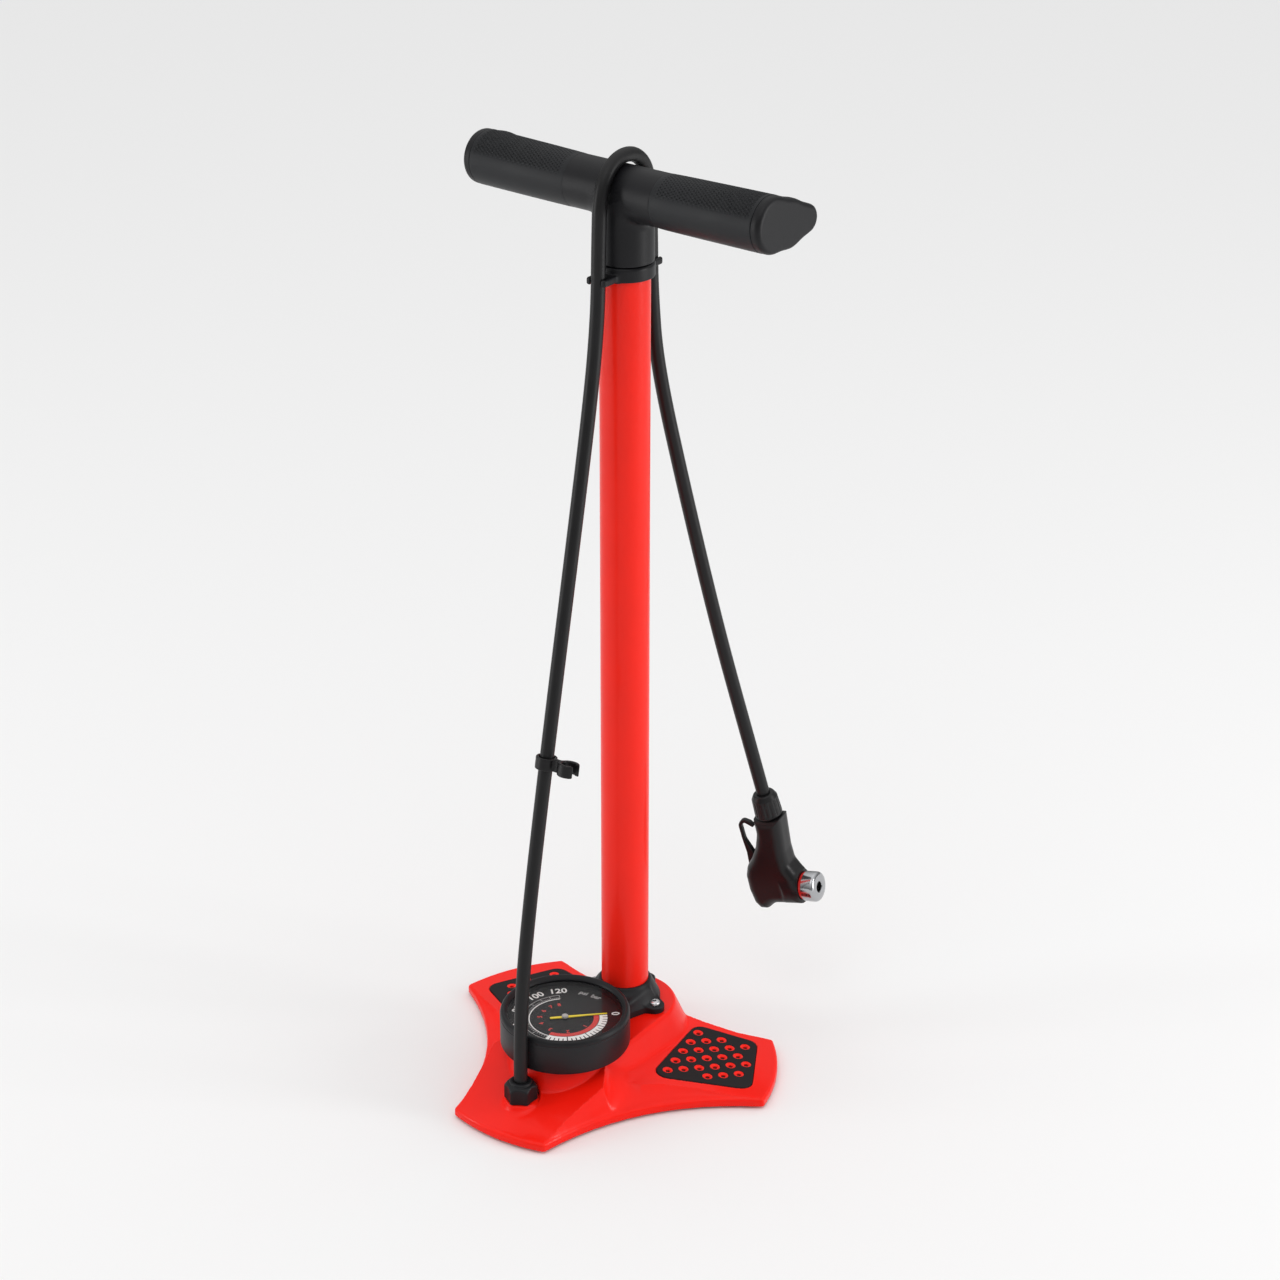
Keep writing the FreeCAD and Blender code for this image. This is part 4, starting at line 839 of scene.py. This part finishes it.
# Radii of the printing, from the red band out to the numbers; MARK_GAP and TICK_HALF are in degrees.
RED_IN, RED_OUT, BLOCK_IN, LINE_IN = 21, 24.8, 25.3, 25.9
TICK_IN, BLOCK_OUT, TICK_SHORT, SCALE_OUT = 26.6, 27.6, 28.6, 31
BAR_NUMBER_R, UNIT_R, NUMBER_R, MARK_GAP, TICK_HALF = 18.3, 35.8, 37, 0.8, 0.4
white, red_print, grey = [], [], []
for mark in range(0, 40, 10):               # the wide white part of the scale, 0 to 40
    start, end = psi_turn(mark), psi_turn(mark + 10)
    white.append(dial_band(BLOCK_IN, BLOCK_OUT, start + MARK_GAP, end - MARK_GAP))
    for cell in range(5):
        first = start + (end - start) * cell / 5
        white.append(dial_band(BLOCK_OUT, SCALE_OUT, first + MARK_GAP, first + (end - start) / 5 - MARK_GAP))
for mark in range(40, 121, 2):
    turn = psi_turn(mark)
    grey.append(dial_band(TICK_IN, TICK_SHORT if mark % 10 else SCALE_OUT, turn - TICK_HALF, turn + TICK_HALF))
for mark in range(0, 121, 20):
    white.append(dial_word(str(mark), dial_turn(psi_turn(mark)), NUMBER_R, 8.6 if mark else 8, 1.05))
white.append(dial_band(LINE_IN, TICK_IN, SCALE[40], SCALE[120]))
grey.append(dial_band(SCALE_OUT, SCALE_OUT + 0.4, SCALE[40], SCALE[120]))
red_print.append(dial_band(RED_IN, RED_OUT, SCALE[0], SCALE[40]))
for bar in range(1, 9):
    red_print.append(dial_word(str(bar), dial_turn(psi_turn(bar * PSI_PER_BAR)), BAR_NUMBER_R, 5))
grey.append(dial_word("psi  bar", math.radians(95), UNIT_R, 6))
for name, parts in (("print_white", white), ("print_red", red_print), ("print_grey", grey)):
    points, faces = merged(parts)
    printed = new_object("dial_" + name, points, faces, "base", sharp=30)
    printed.data.materials.append(PRINTS[name])


# ---- barrel, rod and collar
CENTRE = (0, AXIS_Y)
BARREL_TOP = 607
TUBE = [(15.5, 46), (17.5, 46), (17.5, 606.6), (17.1, BARREL_TOP), (15.5, BARREL_TOP)]
ROD = [(0, 74), (6, 74), (6, 650), (0, 650)]
turned("barrel", TUBE, "base", RED, CENTRE)
turned("piston_rod", ROD, "plunger", "steel", CENTRE, segments=64)
COLLAR_LOW, COLLAR_TOP, COLLAR_R = 602, 612, 20.5
# The hose guides on the collar's front and back: half width and height of the arm, then its hook.
ARM_HALF, ARM_LOW, ARM_HIGH = 8, 602.5, 607.5
HOOK_OUT, HOOK_BORE, MOUTH_HALF, ROD_BORE = 30.5, 5.4, 4, 9.0


def collar_field(x, y, z):
    y = y - AXIS_Y
    out = np.hypot(x, y)
    body = smooth_max(smooth_max(out - COLLAR_R, z - COLLAR_TOP, 2.5), COLLAR_LOW - z, 1)
    arm = smooth_max(np.abs(x) - ARM_HALF, slab(np.abs(y), 15, 34), 2.5)
    body = smooth_min(body, smooth_max(arm, slab(z, ARM_LOW, ARM_HIGH), 1.5), 2.5)
    eye = np.hypot(x, np.abs(y) - HOOK_OUT) - HOOK_BORE
    mouth = np.maximum(np.abs(x) - MOUTH_HALF, HOOK_OUT - np.abs(y))
    body = smooth_max(body, -np.minimum(eye, mouth), 0.8)
    bore = np.where(z < BARREL_TOP, BARREL_R + 0.02, ROD_BORE)
    return np.maximum(body, bore - out)


moulded("collar", collar_field, (-24, AXIS_Y - 37, 600), (24, AXIS_Y + 37, 614), 0.6, "base", BLACK)


# ---- handle
STOWED_TURN = math.radians(-6)
HANDLE = frame_at((math.cos(STOWED_TURN), math.sin(STOWED_TURN), 0),
                  (-math.sin(STOWED_TURN), math.cos(STOWED_TURN), 0), (0, 0, 1), (0, AXIS_Y, 0))
BAR_AT, TAIL_Z = (-2, 660), 657
WAIST_X, GRIP_END, CAP_END = 38, 123, 130
WAIST_R, GRIP_R, RISE = 18.2, 19.1, 1.0
STEM_R, STEM_LOW, STEM_TOP = 20, 612.4, 655


# Where the tail starts at the waist, how far it moves back by the grip's end, and its radius.
TAIL_START, TAIL_SHIFT, TAIL_R, TAIL_SLIM = 12, 17.8, 10.5, 0.5


def bar_section(x):
    """Radius of the bar's front, place and radius of its tail, and its rise, at x along the handle."""
    share = np.clip((np.abs(x) - WAIST_X) / (GRIP_END - WAIST_X), 0, 1)
    front_r = WAIST_R + (GRIP_R - WAIST_R) * share ** 0.5
    return front_r, TAIL_START + TAIL_SHIFT * share, TAIL_R - TAIL_SLIM * share, RISE * share


def bar_distance(x, y, z):
    front_r, tail_y, tail_r, rise = bar_section(x)
    return hull(y, z - rise, BAR_AT, (tail_y, TAIL_Z), front_r, tail_r)


def core_field(x, y, z):
    shrink = 0.15 * np.clip((np.abs(x) - WAIST_X + 0.3) / 0.3, 0, 1)
    bar = np.maximum(bar_distance(x, y, z) + shrink, np.abs(x) - WAIST_X - 1)
    stem = smooth_max(np.hypot(x, y) - STEM_R, STEM_LOW - z, 1.0)
    stem = np.maximum(stem, z - STEM_TOP)
    return smooth_min(bar, stem, 6)


moulded("handle_core", core_field, (-41, -26, 610), (41, 26, 681), 0.8, "plunger", BLACK, HANDLE)


def section_points(x, count):
    """Points round the bar's section at x from the front, the angles they face and the run to each."""
    front_r, tail_y, tail_r, rise = (float(value) for value in bar_section(np.array(x)))
    near, far = np.array(BAR_AT), np.array((tail_y, TAIL_Z))
    ahead = (far - near) / np.linalg.norm(far - near)
    reach = np.linalg.norm(far - near)
    lean = math.asin((front_r - tail_r) / reach)
    heading = math.atan2(ahead[1], ahead[0])
    upper, lower = heading + math.pi / 2 - lean, heading - math.pi / 2 + lean
    side = reach * math.cos(lean)
    front_arc = 2 * math.pi - (upper - lower)
    half_front = front_r * front_arc / 2
    lengths = np.cumsum([0, half_front, side, tail_r * (upper - lower), side, half_front])
    marks = np.linspace(0, lengths[-1], count, endpoint=False)
    points, angles = [], []
    middle = upper + front_arc / 2
    for mark in marks:
        leg = int(np.searchsorted(lengths, mark, side="right")) - 1
        share = (mark - lengths[leg]) / (lengths[leg + 1] - lengths[leg])
        angle = (middle - share * front_arc / 2, upper, upper - share * (upper - lower), lower,
                 lower - share * front_arc / 2)[leg]
        away = np.array((math.cos(angle), math.sin(angle)))
        on_front, on_tail = near + away * front_r, far + away * tail_r
        point = (on_front, on_front + share * (on_tail - on_front), on_tail,
                 on_tail + share * (on_front - on_tail), on_front)[leg]
        points.append(point + (0, rise))
        angles.append(angle)
    return np.array(points), np.array(angles), marks


# The grip's pattern: rows of dimples this far apart, in columns closer by the slant of a hexagon.
DIMPLE_PITCH, COLUMN_PITCH, DIMPLE_DEPTH = 2.4, 2.4 * 0.866, 0.7
TOP_FROM, TOP_TO, UNDER_FROM, UNDER_TO = 20, 172, 195, 300          # degrees of the surface they cover


def dimple_depth(x, around, tilt):
    """Depth of the grip's pattern at x along the handle and a run round it; tilt is the surface's angle."""
    share = (x - WAIST_X) / (GRIP_END - WAIST_X)
    column = np.round(x / COLUMN_PITCH)
    row = np.round(around / DIMPLE_PITCH - 0.5 * (column % 2)) + 0.5 * (column % 2)
    off = np.hypot(x - column * COLUMN_PITCH, around - row * DIMPLE_PITCH)
    radius = 0.5 + 0.45 * share
    turn = np.degrees(tilt) % 360
    top = np.clip(np.minimum(turn - TOP_FROM, TOP_TO - turn) / 8, 0, 1)
    under = np.clip(np.minimum(turn - UNDER_FROM, UNDER_TO - turn) / 8, 0, 1)
    ends = np.clip(np.minimum(x - WAIST_X - 3, GRIP_END - 2 - x) / 1.5, 0, 1)
    return np.clip((radius - off) / 0.3 + 0.5, 0, 1) * np.maximum(top, under) * ends * DIMPLE_DEPTH


GRIP_STEP, AROUND = 0.45, 300


def grip(name, side):
    stations = np.linspace(WAIST_X, GRIP_END, int((GRIP_END - WAIST_X) / GRIP_STEP))
    rings = []
    for x in stations:
        flat, tilt, around = section_points(x, AROUND)
        facing = math.pi - tilt            # 0 at the front, 90 degrees on top
        sunk = dimple_depth(x, around, facing) + 0.25 * max(0, 1 - (GRIP_END - x) / 0.5) ** 2
        flat = flat - sunk[:, None] * np.stack([np.cos(tilt), np.sin(tilt)], 1)
        rings.append(np.column_stack([np.full(AROUND, side * x), flat]))
    faces = ring_faces(len(rings), AROUND, flip=True)
    if side < 0:
        faces = [face[::-1] for face in faces]
    points = np.concatenate(rings) @ HANDLE[:3, :3].T + HANDLE[:3, 3]
    drop_loose(new_object(name, points, faces, "plunger", "grip_rubber", (name,)).data)


grip("grip_left", -1)
grip("grip_right", 1)


# The end caps: the bar's front circle, a belly and a tip, joined by hulls.
CAP_R, BELLY_AT, BELLY_R, TIP_AT, TIP_R = GRIP_R - 0.15, (13, TAIL_Z + 0.8), 15.9, (31.4, TAIL_Z + 0.2), 9.9


def cap_field(x, y, z):
    x = np.abs(x)
    z = z - RISE
    section = smooth_min(hull(y, z, BAR_AT, BELLY_AT, CAP_R, BELLY_R),
                         hull(y, z, BELLY_AT, TIP_AT, BELLY_R, TIP_R), 3)
    section = np.minimum(section, hull(y, z, BAR_AT, TIP_AT, CAP_R, TIP_R))
    body = smooth_max(section, x - CAP_END, 4)
    return smooth_max(body, GRIP_END + 0.15 - x, 0.6)


for side, word in ((-1, "left"), (1, "right")):
    low, high = sorted((side * 120, side * 131))
    moulded(f"end_cap_{word}", cap_field, (low, -23, 638), (high, 48, 681), 0.6, "plunger", BLACK, HANDLE)


# ---- hose nut and clip
NUT_R, BEVEL_DROP, LIP_DROP, LIP_R, NUT_BORE = 12.3, 4.5, 1.8, 8, 5.2
HOLLOW_R, HOLLOW_AT = 21, 31.2      # the round that hollows each of the nut's six faces


def nut_field(x, y, z):
    """Six-sided nut with hollow faces, a bevel above them and a round collar on top."""
    y = y - NUT_Y
    out = np.hypot(x, y)
    sixth = math.pi / 3
    turn = (np.arctan2(y, x) + sixth / 2) % sixth - sixth / 2
    face = HOLLOW_R - np.hypot(out * np.cos(turn) - HOLLOW_AT, out * np.sin(turn))
    bevel = (out - NUT_R + (z - NUT_HIGH[2] + BEVEL_DROP) * 1.1) * 0.7
    body = smooth_max(smooth_max(out - NUT_R, face, 1.2), bevel, 0.8)
    body = smooth_max(body, z - NUT_HIGH[2] + LIP_DROP, 0.8)
    collar = smooth_max(out - LIP_R, z - NUT_HIGH[2], 1.2)
    body = smooth_max(smooth_min(body, collar, 0.8), NUT_LOW[2] - z, 0.5)
    return smooth_max(body, NUT_BORE - out, 0.5)


moulded("hose_nut", nut_field, NUT_LOW - 1.5, NUT_HIGH + 1.5, 0.5, "base", BLACK)

# The clip's Z runs along the hose: a closed ring round the hose, a bridge and an open catch.
CLIP = frame_at((1, 0, 0), (0, 0.9793, -0.2025), (0, 0.2025, 0.9793), (0, -41.12, 275))
RING_R, RING_THICK, CATCH_X, CATCH_R, CATCH_THICK = 6.6, 1.0, 19, 6.3, 1.3
CATCH_OPEN, BRIDGE_HALF, CLIP_HALF = 3.6, 2, 4.5


def clip_field(x, y, z):
    ring = np.abs(np.hypot(x, y) - RING_R) - RING_THICK
    catch = np.abs(np.hypot(x - CATCH_X, y) - CATCH_R) - CATCH_THICK
    catch = smooth_max(catch, np.minimum(x - CATCH_X, CATCH_OPEN - np.abs(y)), 0.8)
    bridge = np.maximum(slab(x, 6, 14), np.abs(y) - BRIDGE_HALF)
    body = smooth_min(smooth_min(ring, catch, 1.5), bridge, 1.5)
    return smooth_max(body, np.abs(z) - CLIP_HALF, 1.0)


moulded("hose_clip", clip_field, (-9, -9, -6), (29, 9, 6), 0.45, "clip", "head_plastic", CLIP)


# ---- pump head
# Its X runs out of the nozzle, its Z back along the hose.
HEAD = frame_at((0.977017, 0.076179, 0.199084), (-0.109950, 0.980229, 0.164507),
                (-0.182616, -0.182616, 0.966076), (61.13, 144.23, 190.30))
HEAD_SIDE = [(-11, -19.5), (-11.5, -33), (-15.7, -45), (-22, -56), (-28, -64), (-31, -72),
             (-31.5, -85), (-29.5, -97), (-25, -102.5), (-18.5, -102.5), (-11, -96.5), (13.5, -94.5),
             (13.5, -71.5), (8.3, -62), (8.2, -50), (11.8, -19.5)]
HEAD_ROUNDS = (0, 14, 20, 20, 12, 10, 12, 6, 4, 4, 12, 0, 0, 9, 20, 0)
HEAD_OUTLINE = rounded(HEAD_SIDE, HEAD_ROUNDS)
HEAD_HALF, HEAD_BACK, NOZZLE_Z, NOZZLE_FACE, NOZZLE_R, NOZZLE_BORE = 11, -19.5, -83, 13.5, 10.8, 7
SLOT_FRONT, SLOT_HALF, SLOT_FROM, SLOT_TO = -17.5, 2.4, -83, -46    # the slot the lever lies in


def head_field(q, b, z):
    side = polygon(q, z, HEAD_OUTLINE)
    body = smooth_max(side + 0.2, np.abs(b) - HEAD_HALF, 8)
    from_nozzle = np.hypot(b, z - NOZZLE_Z)
    collar = smooth_max(from_nozzle - NOZZLE_R, np.maximum(q - NOZZLE_FACE, 2 - q), 1.2)
    body = smooth_min(smooth_max(body, q - NOZZLE_FACE, 1.2), collar, 5)
    body = np.maximum(smooth_max(body, z - HEAD_BACK, 1.0), q - NOZZLE_FACE)
    bore = np.maximum(from_nozzle - NOZZLE_BORE, -4 - q)
    slot = np.maximum(np.abs(b) - SLOT_HALF, slab(z, SLOT_FROM, SLOT_TO))
    slot = np.maximum(slab(q, -40, SLOT_FRONT), slot)
    return smooth_max(smooth_max(body, -bore, 0.6), -slot, 0.8)


moulded("head_body", head_field, (-34, -14, -105), (16, 14, -17), 0.6, "base", "head_plastic", HEAD)

LEVER_SIDE = [(-28.5, -76), (-23.5, -81), (-18.5, -76), (-18.5, -64), (-22.5, -54), (-26.8, -43),
              (-26.8, -31.5), (-24.1, -27.3), (-19.5, -29.8), (-17, -31.5), (-15.5, -30), (-18.5, -27),
              (-24.5, -24.8), (-28.8, -30), (-28.8, -43), (-28, -55), (-29, -66)]
LEVER_ROUNDS = (4, 4, 4, 8, 12, 10, 3, 3, 3, 0.7, 0.7, 4, 4, 6, 12, 12, 8)
LEVER_OUTLINE = rounded(LEVER_SIDE, LEVER_ROUNDS)


def lever_field(q, b, z):
    return smooth_max(polygon(q, z, LEVER_OUTLINE) - 0.3, np.abs(b) - 2, 1.2)


moulded("head_lever", lever_field, (-31, -4, -83), (-12, 4, -22), 0.4, "lever", "head_plastic", HEAD)


GROOVES, GROOVE_DEPTH = 16, 0.35


def head_nut_field(q, b, z):
    """Round nut behind the head's body, slimmer towards the hose and grooved round its waist."""
    out = np.hypot(q, b)
    angle = np.arctan2(b, q)
    profile = np.interp(z, (HEAD_BACK, -18, -4, 0), (9.8, 10.4, 9.8, 7.6))
    waist = np.clip(np.minimum(z + 17.5, -4 - z) / 1.5, 0, 1)
    grooves = GROOVE_DEPTH * np.clip(np.cos(GROOVES * angle) * 1.6, 0, 1) * waist
    body = smooth_max(smooth_max(out - profile + grooves, z, 1.2), HEAD_BACK - z, 0.6)
    return smooth_max(body, np.where(z > -6, 5.05, 3.5) - out, 0.3)


moulded("head_nut", head_nut_field, (-12, -12, -21), (12, 12, 1.5), 0.5, "base", "head_plastic", HEAD)

turned("lever_pin", [(0, -4), (2.1, -4), (2.1, 4), (0, 4)], "base", "steel",
       at=HEAD @ frame_at((0, 0, 1), (1, 0, 0), (0, 1, 0), (-23.5, 0, -76)), segments=48)

# Round pieces of the nozzle: their heights run along the nozzle.
NOZZLE = HEAD @ frame_at((0, 1, 0), (0, 0, 1), (1, 0, 0), (0, 0, NOZZLE_Z))
turned("nozzle_ring", [(7, 13.5), (10.1, 13.5), (10.5, 13.9), (10.5, 15.6), (10.1, 16), (7, 16)], "base",
       "red_plastic", at=NOZZLE, segments=96)
turned("nozzle_cap", [(8, 16), (11.2, 16), (11.5, 16.3), (11.5, 23.9), (11.2, 25), (10.5, 25.8), (9.4, 26.3),
                      (8.4, 26.5), (4.5, 26.5), (4, 26), (4, 23.5), (8, 23.5)], "base", "chrome",
       at=NOZZLE, segments=96)
